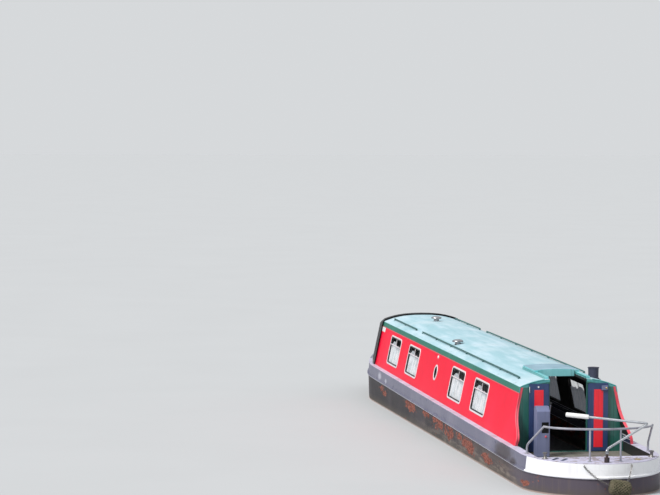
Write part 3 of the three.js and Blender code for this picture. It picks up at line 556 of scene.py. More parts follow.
@dataclass(frozen=True)
class HullPaint(Finish):
    """Black hull with rust and weld seams, under a grey band that turns white round the stern."""

    black: Colour = (0.022, 0.019, 0.023)
    faded_black: Colour = (0.050, 0.042, 0.050)
    aft_black: Colour = (0.115, 0.088, 0.082)
    counter_black: Colour = (0.125, 0.108, 0.15)
    streaked_black: Colour = (0.15, 0.12, 0.115)
    scum: Colour = (0.32, 0.26, 0.22)
    slime: Colour = (0.12, 0.10, 0.075)
    wet_line: Colour = (0.36, 0.28, 0.25)
    weld: Colour = (0.15, 0.11, 0.10)
    grey: Colour = (0.152, 0.152, 0.215)
    faded_grey: Colour = (0.195, 0.19, 0.255)
    pale_grey: Colour = (0.52, 0.52, 0.6)
    streaked_grey: Colour = (0.11, 0.11, 0.13)
    bare_steel: Colour = (0.062, 0.052, 0.062)
    white: Colour = (0.92, 0.92, 0.94)
    faded_white: Colour = (0.86, 0.85, 0.88)
    streaked_white: Colour = (0.42, 0.38, 0.36)
    # Painted highlight: a thin pale line along the rubbing strake, where it catches the light.
    edge_line: Colour = (0.60, 0.60, 0.68)
    band_from: Pair = (0.876, 0.882)
    white_from: Pair = (-1.442, -1.448)
    edge_z: float = 0.887
    seams: tuple[float, ...] = (0.95, 3.15, 5.9, 8.6, 11.35)
    rust_spots: tuple[Point, ...] = (
        (9.8, 0.77, 0.5), (7.15, 0.80, 0.6), (5.7, 0.83, 0.45), (4.75, 0.80, 0.7), (3.8, 0.77, 0.6),
        (3.04, 0.80, 0.4), (2.35, 0.76, 0.6), (2.0, 0.68, 0.4), (0.95, 0.73, 0.45),
        (-1.4, 0.72, 0.24),
    )
    pale_spots: tuple[Point, ...] = ((10.25, 0.99, 0.2), (9.6, 0.965, 0.11))
    worn_spots: tuple[Point, ...] = ((-0.17, 0.98, 0.62), (0.02, 0.96, 0.5), (-0.75, 0.93, 0.25))

    def spots(self, g: Graph, flat: Value, spots: Sequence[Point], tall: float) -> Feed:
        """Joins ragged spots at stations along the hull into one mask.

        Args:
            g: The material's graph.
            flat: The place on the hull, with Y dropped.
            spots: Station, height and half length of each.
            tall: Half height of a spot as a share of its half length.

        Returns:
            The mask.
        """
        whole: Feed = 0.0
        for station, z, half in spots:
            spot = patch(g, Place=flat, Centre=(row(station), 0.0, z), Half=(half, 1.0, half * tall))
            whole = g.math("MAXIMUM", spot["Mask"], whole)
        return whole

    def rusted(self, g: Graph, place: Value, flat: Value, level: Value) -> Values:
        """Places the rust: in its spots, in ragged runs and a little near the band.

        Args:
            g: The material's graph.
            place: The place on the hull.
            flat: The same with Y dropped.
            level: Height, with the bow's rise taken off.

        Returns:
            The mask, colour and height of the rust.
        """
        near_band = g.span(level, 0.62, 0.88)
        runs = g.span(g.noise(flat * (1.7, 1.0, 6.0), 1.0, 5.0, 0.72), 0.56, 0.74)
        amount = self.spots(g, flat, self.rust_spots, 0.22) * 0.62 + near_band * 0.06
        amount = amount + runs * g.span(level, 0.56, 0.76, 0.1, 0.7)
        return rust(g, Place=place * (0.35, 1.0, 1.0), Amount=amount)

    def lower(self, g: Graph, place: Value, worn: Values) -> Value:
        """Colours the black below the band: worn aft, with scum, slime and a wet line.

        Args:
            g: The material's graph.
            place: The place on the hull.
            worn: What the weather does there.

        Returns:
            The colour.
        """
        x, _, z = g.axes(place)
        water = z - (x * WATER_SLOPE + WATER_AT_MIDSHIP)
        black = g.mix(worn["Blotch"], self.black, self.faded_black)
        black = g.mix(g.span(x, row(5.5), row(0.5), 0.0, 0.5), black, self.aft_black)
        black = g.mix(g.span(x, row(-0.2), row(-1.2), 0.0, 0.55), black, self.counter_black)
        streaks = worn["Streak"] * g.span(x, row(7.0), row(1.5), 0.2, 0.45)
        black = g.mix(streaks, black, self.streaked_black)
        amidships = g.span(x, row(8.0), row(2.0)) * g.span(x, row(-1.6), row(-0.6))
        scum = amidships * g.span(water, 0.28, 0.08)
        scum = scum * g.span(g.noise(place * (1.2, 1.0, 9.0), 1.0, 5.0, 0.7), 0.44, 0.6)
        black = g.mix(scum * 0.6, black, self.scum)
        black = g.mix(g.span(water, 0.16, 0.0) * g.noise(place, 6.0, 3.0), black, self.slime)
        return g.mix(g.span(water, 0.028, 0.014), black, self.wet_line)

    def upper(self, g: Graph, flat: Value, x: Value, worn: Values) -> Value:
        """Colours the band: grey with pale and bare spots, and white round the stern.

        Args:
            g: The material's graph.
            flat: The place on the hull, with Y dropped.
            x: The place along the hull.
            worn: What the weather does there.

        Returns:
            The colour.
        """
        grey = g.mix(worn["Blotch"], self.grey, self.faded_grey)
        grey = g.mix(self.spots(g, flat, self.pale_spots, 0.4) * 0.7, grey, self.pale_grey)
        grey = g.mix(worn["Streak"] * 0.3, grey, self.streaked_grey)
        grey = g.mix(self.spots(g, flat, self.worn_spots, 0.3) * 0.95, grey, self.bare_steel)
        white = g.mix(worn["Blotch"], self.white, self.faded_white)
        white = g.mix(worn["Streak"] * 0.16, white, self.streaked_white)
        aft, fore = self.white_from
        return g.mix(g.span(x, row(aft), row(fore)), grey, white)

    def paint(self, g: Graph) -> Feeds:
        """Wires the bands, the seams, the rust, the line that the water leaves and a painted highlight
        along the strake.

        Args:
            g: The material's graph.

        Returns:
            The shader's inputs, by name.
        """
        place = g.place()
        x, _, z = g.axes(place)
        flat = place * (1.0, 0.0, 1.0)
        worn = weather(g, Place=place, Size=1.1)
        ahead = g.math("MAXIMUM", (x - row(RISE_START)) * (1 / (BOW_TIP - RISE_START)), 0.0)
        level = z - ahead * ahead * (BOW_RISE * 0.9)
        band = g.span(level, *self.band_from)
        rusty = self.rusted(g, place, flat, level)
        seam: Feed = 0.0
        for station in self.seams:
            seam = g.math("MAXIMUM", g.span(abs(x - row(station)), 0.011, 0.004), seam)
        below = g.mix(rusty["Mask"], self.lower(g, place, worn), rusty["Tint"])
        below = g.mix(seam * 0.55, below, self.weld)
        # Painted highlight: a thin pale line along the strake.
        edge = g.span(abs(level - self.edge_z), 0.009, 0.004)
        above = g.mix(edge, self.upper(g, flat, x, worn), self.edge_line)
        relief = worn["Height"] + seam * (1.0 - band) * 1.4
        relief = relief + rusty["Mask"] * rusty["Height"] * 1.5
        return {
            "Base Color": g.mix(band, below, above),
            "Roughness": rusty["Mask"] * 0.35 + g.span(band, 0, 1, 0.46, 0.36),
            "Specular IOR Level": 0.13,
            "Normal": g.bump(relief, 0.35, 0.003),
        }


@dataclass(frozen=True)
class DeckPaint(Finish):
    """Pale deck paint with sand in it, scuffed and dirty where feet go."""

    base: Colour = (0.56, 0.53, 0.68)
    worn_to: Colour = (0.42, 0.40, 0.50)
    scuff: Colour = (0.24, 0.19, 0.15)
    sand: Colour = (0.9, 0.88, 0.95)
    mud: Colour = (0.20, 0.14, 0.10)

    def paint(self, g: Graph) -> Feeds:
        """Wires the scuffs, the dirt and the sand.

        Args:
            g: The material's graph.

        Returns:
            The shader's inputs, by name.
        """
        place = g.place()
        x, y, _ = g.axes(place)
        worn = weather(g, Place=place, Size=2.2)
        sand = g.noise(place, 420.0, 1.0, 0.5)
        colour = g.mix(worn["Blotch"], self.base, self.worn_to)
        scuffs = g.span(g.noise(place, 11.0, 5.0, 0.7), 0.56, 0.7)
        colour = g.mix(scuffs * 0.6, colour, self.scuff)
        colour = g.mix(sand * 0.12, colour, self.sand)
        trodden = g.span(abs(y), 0.98, 0.88) * g.span(x, row(-0.1), row(-0.5))
        trodden = trodden * g.span(g.noise(place, 7.0, 5.0, 0.7), 0.5, 0.6)
        return {
            "Base Color": g.mix(trodden * 0.7, colour, self.mud),
            "Normal": g.bump(sand + worn["Height"], 0.3),
        }


@dataclass(frozen=True)
class RoofPaint(Finish):
    """Matt roof paint, chalky and dusty, with bare patches of older paint."""

    base: Colour = (0.33, 0.54, 0.60)
    washed: Colour = (0.52, 0.68, 0.76)
    chalk: Colour = (0.66, 0.74, 0.79)
    chip: Colour = (0.74, 0.78, 0.78)
    moss: Colour = (0.12, 0.22, 0.21)

    def paint(self, g: Graph) -> Feeds:
        """Wires the chalk, the dust and the marks that run across the roof.

        Args:
            g: The material's graph.

        Returns:
            The shader's inputs, by name.
        """
        place = g.place()
        worn = weather(g, Place=place, Size=0.9)
        wash = g.span(g.noise(place * (0.7, 5.0, 1.0), 1.0, 4.0, 0.62), 0.36, 0.74)
        colour = g.mix(wash, self.base, self.washed)
        colour = g.mix(worn["Blotch"] * 0.5, colour, self.chalk)
        chips = g.span(g.noise(place, 16.0, 5.0, 0.7), 0.66, 0.7)
        colour = g.mix(chips * 0.5, colour, self.chip)
        moss = g.span(g.noise(place, 5.0, 4.0), 0.6, 0.75)
        return {
            "Base Color": g.mix(moss * 0.3, colour, self.moss),
            "Normal": g.bump(worn["Height"], 0.25, 0.0015),
        }


@dataclass(frozen=True)
class PlankPaint(Finish):
    """Gloss paint over grooved boards that stand upright."""

    base: Colour = (0.018, 0.115, 0.092)
    faded: Colour = (0.028, 0.155, 0.126)
    shade: Colour = (0.004, 0.02, 0.016)
    streak: Colour = (0.10, 0.16, 0.13)
    board: float = 0.1

    def paint(self, g: Graph) -> Feeds:
        """Wires the grooves and the slight change of tone from board to board.

        Args:
            g: The material's graph.

        Returns:
            The shader's inputs, by name.
        """
        place = g.place()
        worn = weather(g, Place=place, Size=2.0)
        boards = g.axes(place)[1] * (1 / self.board)
        groove = g.span(abs(g.math("FRACT", boards) - 0.5), 0.455, 0.49)
        colour = g.mix((g.tone(boards) + worn["Blotch"]) * 0.5, self.base, self.faded)
        colour = g.mix(groove * 0.7, colour, self.shade)
        return {
            "Base Color": g.mix(worn["Streak"] * 0.18, colour, self.streak),
            "Coat Weight": 0.5,
            "Coat Roughness": 0.1,
            "Normal": g.bump(worn["Height"] * 0.3 - groove, 0.6, 0.002),
        }


@dataclass(frozen=True)
class Boards(Finish):
    """Bare boards laid along the boat, with grain, gaps and dirt."""

    light: Colour = (0.24, 0.23, 0.195)
    dark: Colour = (0.105, 0.10, 0.08)
    dust: Colour = (0.33, 0.31, 0.34)
    board: float = 0.14

    def paint(self, g: Graph) -> Feeds:
        """Wires the grain along X and a tone for each board.

        Args:
            g: The material's graph.

        Returns:
            The shader's inputs, by name.
        """
        place = g.place()
        boards = g.axes(place)[1] * (1 / self.board)
        grain = g.noise(place * (2.5, 60.0, 60.0), 1.0, 5.0, 0.65)
        colour = g.mix(grain * 0.7 + g.tone(boards) * 0.3, self.dark, self.light)
        dust = g.span(g.noise(place, 4.0, 4.0, 0.65), 0.5, 0.7)
        return {
            "Base Color": g.mix(dust * 0.5, colour, self.dust),
            "Normal": g.bump(grain, 0.4),
        }


@dataclass(frozen=True)
class Lining(Finish):
    """Cabin lining in dark paint, with two pale lines under the windows."""

    upper: Colour = (0.012, 0.011, 0.010)
    lower: Colour = (0.014, 0.022, 0.06)
    line: Colour = (0.62, 0.60, 0.66)
    worn_to: Colour = (0.05, 0.05, 0.06)
    lines: tuple[Pair, ...] = ((1.205, 0.011), (1.17, 0.008))

    def paint(self, g: Graph) -> Feeds:
        """Wires the lining's colours by height.

        Args:
            g: The material's graph.

        Returns:
            The shader's inputs, by name.
        """
        place = g.place()
        z = g.axes(place)[2]
        worn = weather(g, Place=place, Size=1.5)
        colour = g.mix(g.span(z, 1.212, 1.2), self.upper, self.lower)
        for level, half in self.lines:
            colour = g.mix(g.span(abs(z - level), half, half - 0.003), colour, self.line)
        return {
            "Base Color": g.mix(worn["Blotch"] * 0.2, colour, self.worn_to),
            "Normal": g.bump(worn["Grain"], 0.1),
        }


@dataclass(frozen=True)
class Metal(Finish):
    """Bare or plated metal, brushed along its length and dulled by weather."""

    base: Colour
    dulled: Colour
    metal: float = 1.0
    spotted: float = 0.0

    def paint(self, g: Graph) -> Feeds:
        """Wires dull patches, fine scratches and spots of rust.

        Args:
            g: The material's graph.

        Returns:
            The shader's inputs, by name.
        """
        place = g.place()
        worn = weather(g, Place=place, Size=9.0)
        rusty = rust(g, Place=place, Amount=self.spotted - 0.55)
        colour = g.mix(worn["Blotch"], self.base, self.dulled)
        scratch = g.noise(place * (40.0, 400.0, 400.0), 1.0, 2.0)
        return {
            "Base Color": g.mix(rusty["Mask"], colour, rusty["Tint"]),
            "Metallic": (1.0 - rusty["Mask"]) * self.metal,
            "Roughness": scratch * 0.1 + (self.rough - 0.05),
            "Normal": g.bump(scratch, 0.03, 0.0003),
        }


@dataclass(frozen=True)
class Glass(Finish):
    """Window glass: clear, a little dusty, with the shine of a real pane."""

    tint: Colour = (0.012, 0.015, 0.017)
    dust: Colour = (0.10, 0.11, 0.115)
    clear: float = 0.10

    def paint(self, g: Graph) -> Feeds:
        """Wires the dust that makes parts of the pane less clear.

        Args:
            g: The material's graph.

        Returns:
            The shader's inputs, by name.
        """
        dust = g.span(g.noise(g.place(), 7.0, 4.0, 0.65), 0.45, 0.75)
        return {
            "Base Color": g.mix(dust, self.tint, self.dust),
            "Alpha": dust * 0.12 + self.clear,
            "Roughness": g.span(dust, 0, 1, 0.03, 0.16),
            "IOR": 1.35,
        }


@dataclass(frozen=True)
class NetCurtain(Finish):
    """White net that lets some of the dark behind it through, and has a faint painted glow in place of
    daylight through it.
    """

    white: Colour = (0.93, 0.93, 0.95)
    # washed: pale blue-grey for streaks of painted shade that stand in for the net's folds.
    washed: Colour = (0.62, 0.70, 0.75)
    # hem: painted shadow, the grey that darkens the net towards its top under the transom.
    hem: Colour = (0.42, 0.46, 0.50)
    # Painted light: a faint emission in this colour stands in for daylight through the net.
    daylight: Colour = (0.82, 0.88, 1.0)
    glow: float = 0.085
    threads: float = 620.0

    def paint(self, g: Graph) -> Feeds:
        """Wires the net's threads, streaks of painted shade that stand in for its folds, a painted shadow
        at its top and a faint painted glow.

        Args:
            g: The material's graph.

        Returns:
            The shader's inputs, by name.
        """
        cloth = g.place("UV")
        net = weave(g, Cloth=cloth, Threads=self.threads)
        # Vertical streaks of pale blue-grey: painted shade that stands in for the net's folds.
        wash = g.noise(cloth * (22.0, 2.5, 1.0), 1.0, 3.0)
        colour = g.mix(g.span(wash, 0.42, 0.62), self.white, self.washed)
        # Painted shadow: darker towards the net's top, under the transom, in patches.
        hem = g.span(g.axes(cloth)[1], 0.09, 0.03) * g.span(wash, 0.3, 0.55)
        return {
            "Base Color": g.mix(hem, colour, self.hem),
            "Alpha": 1.0 - net["Hole"] * 0.12,
            "Sheen Weight": 0.3,
            "Emission Color": self.daylight,
            "Emission Strength": self.glow,
            "Normal": g.bump(net["Height"], 0.3, 0.0004),
        }


@dataclass(frozen=True)
class Canvas(Finish):
    """Coated canvas, woven, with dust in its hollows."""

    base: Colour = (0.010, 0.010, 0.013)
    worn_to: Colour = (0.035, 0.034, 0.038)
    dust: Colour = (0.10, 0.095, 0.09)
    threads: float = 900.0

    def paint(self, g: Graph) -> Feeds:
        """Wires the weave, the coat's wear and the dust.

        Args:
            g: The material's graph.

        Returns:
            The shader's inputs, by name.
        """
        place = g.place()
        woven = weave(g, Cloth=g.place("UV"), Threads=self.threads)
        worn = weather(g, Place=place, Size=2.5)
        colour = g.mix(worn["Blotch"], self.base, self.worn_to)
        folds = g.noise(place * (2.0, 7.0, 7.0), 1.0, 3.0)
        return {
            "Base Color": g.mix(worn["Streak"] * 0.3, colour, self.dust),
            "Roughness": g.span(worn["Blotch"], 0, 1, self.rough, 0.85),
            "Sheen Weight": 0.2,
            "Normal": g.bump(woven["Height"] * 0.12 + folds, 0.5, 0.008),
        }


@dataclass(frozen=True)
class Rope(Finish):
    """Old laid rope with loose fibres, mud and moss."""

    mud: Colour = (0.022, 0.019, 0.012)
    fibre: Colour = (0.24, 0.205, 0.13)
    moss: Colour = (0.065, 0.068, 0.034)

    def paint(self, g: Graph) -> Feeds:
        """Wires the fibres, the mud and the moss.

        Args:
            g: The material's graph.

        Returns:
            The shader's inputs, by name.
        """
        place = g.place()
        fibre = g.noise(place, 170.0, 4.0, 0.7)
        moss = g.span(g.noise(place, 13.0, 4.0, 0.7), 0.42, 0.62)
        colour = g.mix(g.span(fibre, 0.3, 0.7), self.mud, self.fibre)
        return {
            "Base Color": g.mix(moss * 0.6, colour, self.moss),
            "Normal": g.bump(fibre, 0.9, 0.003),
        }


@dataclass(frozen=True)
class StudioFloor(Finish):
    """Plain pale floor with the faintest mottling."""

    base: Colour = (0.50, 0.505, 0.51)
    pale: Colour = (0.53, 0.535, 0.54)

    def paint(self, g: Graph) -> Feeds:
        """Wires the mottling."""
        return {"Base Color": g.mix(g.noise(g.place(), 0.35, 3.0), self.base, self.pale)}


HULL = HullPaint("hull paint", 0.5)
DECK = DeckPaint("deck paint", 0.62)
FOREDECK = DeckPaint("foredeck paint", 0.6, base=(0.20, 0.21, 0.29), worn_to=(0.15, 0.155, 0.2))
RED = CabinPaint("cabin red", 0.36)
PINK = Paint("edge bead pink", 0.4, base=(0.76, 0.075, 0.11), faded=(0.82, 0.14, 0.18),
             grime=(0.6, 0.06, 0.08))
ROOF = RoofPaint("roof paint", 0.6)
TEAL = Paint("teal trim paint", 0.38, base=(0.07, 0.34, 0.33), faded=(0.11, 0.41, 0.41),
             grime=(0.03, 0.13, 0.115), coat=0.3)
PALE_TEAL = Paint("pale teal paint", 0.45, base=(0.19, 0.60, 0.63), faded=(0.30, 0.69, 0.73),
                  grime=(0.04, 0.16, 0.14), dirt=0.4, coat=0.2)
HATCH = Paint("hatch paint", 0.36, base=(0.27, 0.45, 0.55), faded=(0.38, 0.56, 0.68),
              grime=(0.12, 0.26, 0.30), coat=0.2)
HANDRAIL = Paint("handrail green", 0.4, base=(0.026, 0.11, 0.105), faded=(0.045, 0.155, 0.145),
                 grime=(0.01, 0.035, 0.03))
GREEN = PlankPaint("bulkhead green", 0.3)
NAVY = Paint("door navy", 0.36, base=(0.022, 0.048, 0.145), faded=(0.035, 0.066, 0.18),
             grime=(0.012, 0.02, 0.05), coat=0.3)
PANEL = Paint("door panel red", 0.34, base=(0.92, 0.016, 0.035), faded=(0.96, 0.03, 0.05),
              grime=(0.5, 0.01, 0.02), coat=0.2, relief=0.05)
FLUE = Paint("flue black", 0.5, base=(0.026, 0.026, 0.047), faded=(0.05, 0.05, 0.085),
             grime=(0.09, 0.06, 0.05))
POD = Paint("pedestal grey", 0.42, base=(0.175, 0.195, 0.33), faded=(0.215, 0.235, 0.375),
            grime=(0.08, 0.08, 0.11))
# Black for real black parts, and painted shade in the deck well, the deck's slots and the pedestal's
# recess.
DARK = Paint("recess black", 0.6, base=(0.012, 0.012, 0.014), faded=(0.03, 0.03, 0.034),
             grime=(0.05, 0.045, 0.04))
IRONWORK = Paint("ironwork black", 0.5, base=(0.02, 0.019, 0.022), faded=(0.05, 0.045, 0.048),
                 grime=(0.14, 0.06, 0.04), dirt=0.5, relief=0.4)
RAIL = Paint("rail grey", 0.32, base=(0.30, 0.30, 0.35), faded=(0.42, 0.42, 0.48),
             grime=(0.16, 0.15, 0.16), coat=0.3)
FRAME = Metal("window frame", 0.36, base=(0.90, 0.82, 0.85), dulled=(0.80, 0.74, 0.77), metal=0.2)
STEEL = Metal("tiller steel", 0.28, base=(0.56, 0.58, 0.61), dulled=(0.44, 0.45, 0.48))
CHAIN = Metal("chain steel", 0.5, base=(0.30, 0.29, 0.28), dulled=(0.18, 0.16, 0.15), spotted=0.35)
BRASS = Metal("brass", 0.32, base=(0.72, 0.52, 0.22), dulled=(0.42, 0.30, 0.14))
BRONZE = Metal("propeller bronze", 0.4, base=(0.50, 0.31, 0.13), dulled=(0.25, 0.20, 0.12))
VENT = Metal("vent steel", 0.34, base=(0.50, 0.49, 0.50), dulled=(0.3, 0.3, 0.32))
GRIP = Paint("grip white", 0.4, base=(0.86, 0.85, 0.84), faded=(0.78, 0.77, 0.76), grime=(0.5, 0.45, 0.4),
             dirt=0.2)
PLATE = Paint("plate white", 0.35, base=(0.86, 0.86, 0.86), faded=(0.78, 0.78, 0.8),
              grime=(0.5, 0.48, 0.46))
RUBBER = Paint("rubber seal", 0.65, base=(0.012, 0.012, 0.013), faded=(0.03, 0.03, 0.03),
               grime=(0.05, 0.05, 0.05))
TIMBER = Boards("deck boards", 0.75)
INSIDE = Lining("cabin lining", 0.55)
GLASS = Glass("window glass", 0.05)
NET = NetCurtain("net curtain", 0.9)
CANVAS = Canvas("cover canvas", 0.55)
ROPE = Rope("fender rope", 0.95)
ENAMEL = Paint("engine enamel", 0.4, base=(0.03, 0.08, 0.06), faded=(0.04, 0.1, 0.08),
               grime=(0.02, 0.02, 0.02))
FLOOR = StudioFloor("studio floor", 0.9)


# Shapes and pieces


class Shape:
    """A mesh in the making, and the finish that its next faces get."""

    def __init__(self) -> None:
        """Starts with nothing."""
        self.bm = bmesh.new()
        self.finish = 0

    def use(self, finish: int) -> "Shape":
        """Chooses the finish of the next faces, by its number on the piece."""
        self.finish = finish
        return self

    def face(self, corners: Iterable[bmesh.types.BMVert]) -> None:
        """Adds one face."""
        made = self.bm.faces.new(list(corners))
        made.material_index = self.finish

    def skin(self, rings: Sequence[Sequence[Sequence[float]]], loop: bool = True, cap: bool = True,
             circuit: bool = False) -> "Shape":
        """Joins rings of points that have the same number of points.

        Args:
            rings: The rings in order.
            loop: Whether each ring closes on itself.
            cap: Whether the first and last ring are filled.
            circuit: Whether the last ring joins the first.

        Returns:
            The shape.
        """
        rows = [[self.bm.verts.new(p) for p in ring] for ring in rings]
        count = len(rows[0])
        pairs = list(zip(rows, rows[1:])) + ([(rows[-1], rows[0])] if circuit else [])
        for a, b in pairs:
            for i in range(count if loop else count - 1):
                j = (i + 1) % count
                self.face((a[i], a[j], b[j], b[i]))
        if cap and loop and not circuit:
            self.face(reversed(rows[0]))
            self.face(rows[-1])
        return self

    def box(self, low: Sequence[float], high: Sequence[float], turn: Matrix | None = None) -> "Shape":
        """Adds a block between two corners, moved by a matrix if one is given."""
        (x0, y0, z0), (x1, y1, z1) = low, high
        return self.slab([(x0, y0), (x1, y0), (x1, y1), (x0, y1)], z0, z1, turn or Matrix())

    def tube(self, path: Sequence[Vector], radius: float | Sequence[float], sides: int = 14,
             circuit: bool = False) -> "Shape":
        """Adds a round bar along a path.

        Args:
            path: Points of its centreline.
            radius: Its radius, or one for each point.
            sides: Sides of its section.
            circuit: Whether it closes on itself.

        Returns:
            The shape.
        """
        points = [Vector(p) for p in path]
        count = len(points)
        side = Vector()
        rings = []
        for i, point in enumerate(points):
            after = points[(i + 1) % count] if circuit else points[min(i + 1, count - 1)]
            along = (after - (points[i - 1] if circuit or i else point)).normalized()
            if i == 0:
                side = along.orthogonal()
            side = (side - along * side.dot(along)).normalized()
            other = along.cross(side)
            r = radius[i] if isinstance(radius, (list, tuple)) else radius
            rings.append([point + side * r * math.cos(a) + other * r * math.sin(a) for a in turns(sides)])
        return self.skin(rings, circuit=circuit)

    def lathe(self, profile: Outline, matrix: Matrix, sides: int = 32) -> "Shape":
        """Adds a solid turned about Z, given the radius and height of each ring from foot to top."""
        return self.skin([lifted(circle(r, sides), h, matrix) for r, h in profile])

    def ring(self, profile: Outline, outline: Callable[[float], Outline], matrix: Matrix) -> "Shape":
        """Adds a frame round an outline, its section given by inset and height over the plane."""
        rings = [lifted(outline(inset), height, matrix) for inset, height in profile]
        return self.skin(rings, cap=False, circuit=True)

    def slab(self, outline: Outline, low: float, high: float, matrix: Matrix) -> "Shape":
        """Adds a plate of an outline between two heights."""
        return self.skin([lifted(outline, height, matrix) for height in (low, high)])

    def mesh(self, name: str, closed: bool = True) -> bpy.types.Mesh:
        """Ends the making.

        Args:
            name: Name of the mesh.
            closed: Whether all of it is closed, so that its faces can be turned outwards.

        Returns:
            The mesh.
        """
        if closed:
            bmesh.ops.recalc_face_normals(self.bm, faces=self.bm.faces[:])
        made = bpy.data.meshes.new(name)
        self.bm.to_mesh(made)
        self.bm.free()
        return made


def body_of(node: str) -> str:
    """Name of the body that a CAD node rides on."""
    bodies = frame["record"]["behaviour"]["bodies"]
    return next(body for body, nodes in bodies.items() if node in nodes)


@dataclass
class Yard:
    """Puts finished pieces into the scene and on their bodies."""

    count: int = 0
    weld: float = 2e-5
    round_from: float = 40.0

    def fit(self, name: str, made: Shape | bpy.types.Mesh, finishes: Sequence[Finish], slot: str,
            node: str = "", bevel: float = 0.0, sharp: float = 34.0) -> bpy.types.Object:
        """Adds a piece, on the body of the CAD node that it replaces, or else on the boat.

        Args:
            name: Name of the piece.
            made: Its mesh, or the shape to make it of, in the row frame.
            finishes: Its finishes, in the order that its faces number them.
            slot: The record's material slot; not used.
            node: The CAD node that it replaces, if any.
            bevel: Width of the rounding on its edges, or none.
            sharp: Angle in degrees past which an edge looks sharp.

        Returns:
            The piece's object.
        """
        mesh = made.mesh(node or name) if isinstance(made, Shape) else made
        body = body_of(node) if node else "boat"
        if not mesh.materials:
            for finish in finishes:
                mesh.materials.append(finish.material())
        mesh.shade_smooth()
        mesh.set_sharp_from_angle(angle=math.radians(sharp))
        piece = link(bpy.data.objects.new(name, mesh))
        if bevel:
            rounding = piece.modifiers.new("rounding", "BEVEL")
            rounding.width = bevel
            rounding.segments = 2
            rounding.limit_method = "ANGLE"
            rounding.angle_limit = math.radians(self.round_from)
            rounding.harden_normals = True
        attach(piece, body)
        if node:
            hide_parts(node)
        self.count += 1
        LOG.info("%s: %d faces on %s", name, len(mesh.polygons), body)
        return piece

    def refine(self, node: str, finishes: Sequence[Finish], slot: str,
               pick: Callable[[Vector, Vector], int] | None = None, bevel: float = 0.0,
               sharp: float = 34.0, plain: float = 0.6) -> bpy.types.Object:
        """Replaces a CAD node by a welded copy of it with smooth faces and several finishes.

        Args:
            node: The CAD node.
            finishes: The finishes of the copy.
            slot: The record's material slot; not used.
            pick: Gives the number of a face's finish from its middle and its normal.
            bevel: Width of the rounding on its edges, or none.
            sharp: Angle in degrees past which an edge looks sharp.
            plain: Angle in degrees up to which neighbouring faces are joined into one.

        Returns:
            The piece's object.
        """
        shape = bmesh.new()
        shape.from_mesh(frame["nodes"][node].data)
        bmesh.ops.remove_doubles(shape, verts=shape.verts[:], dist=self.weld)
        bmesh.ops.dissolve_limit(shape, angle_limit=math.radians(plain), verts=shape.verts[:],
                                 edges=shape.edges[:])
        for face in shape.faces:
            face.material_index = pick(face.calc_center_median(), face.normal) if pick else 0
        mesh = bpy.data.meshes.new(f"{node}_dressed")
        shape.to_mesh(mesh)
        shape.free()
        return self.fit(f"{node}_dressed", mesh, finishes, slot, node, bevel, sharp)


class PartKind(Enum):
    """What a row of small parts is made of."""

    SCREW = "screw"
    LINK = "link"
    EYELET = "eyelet"


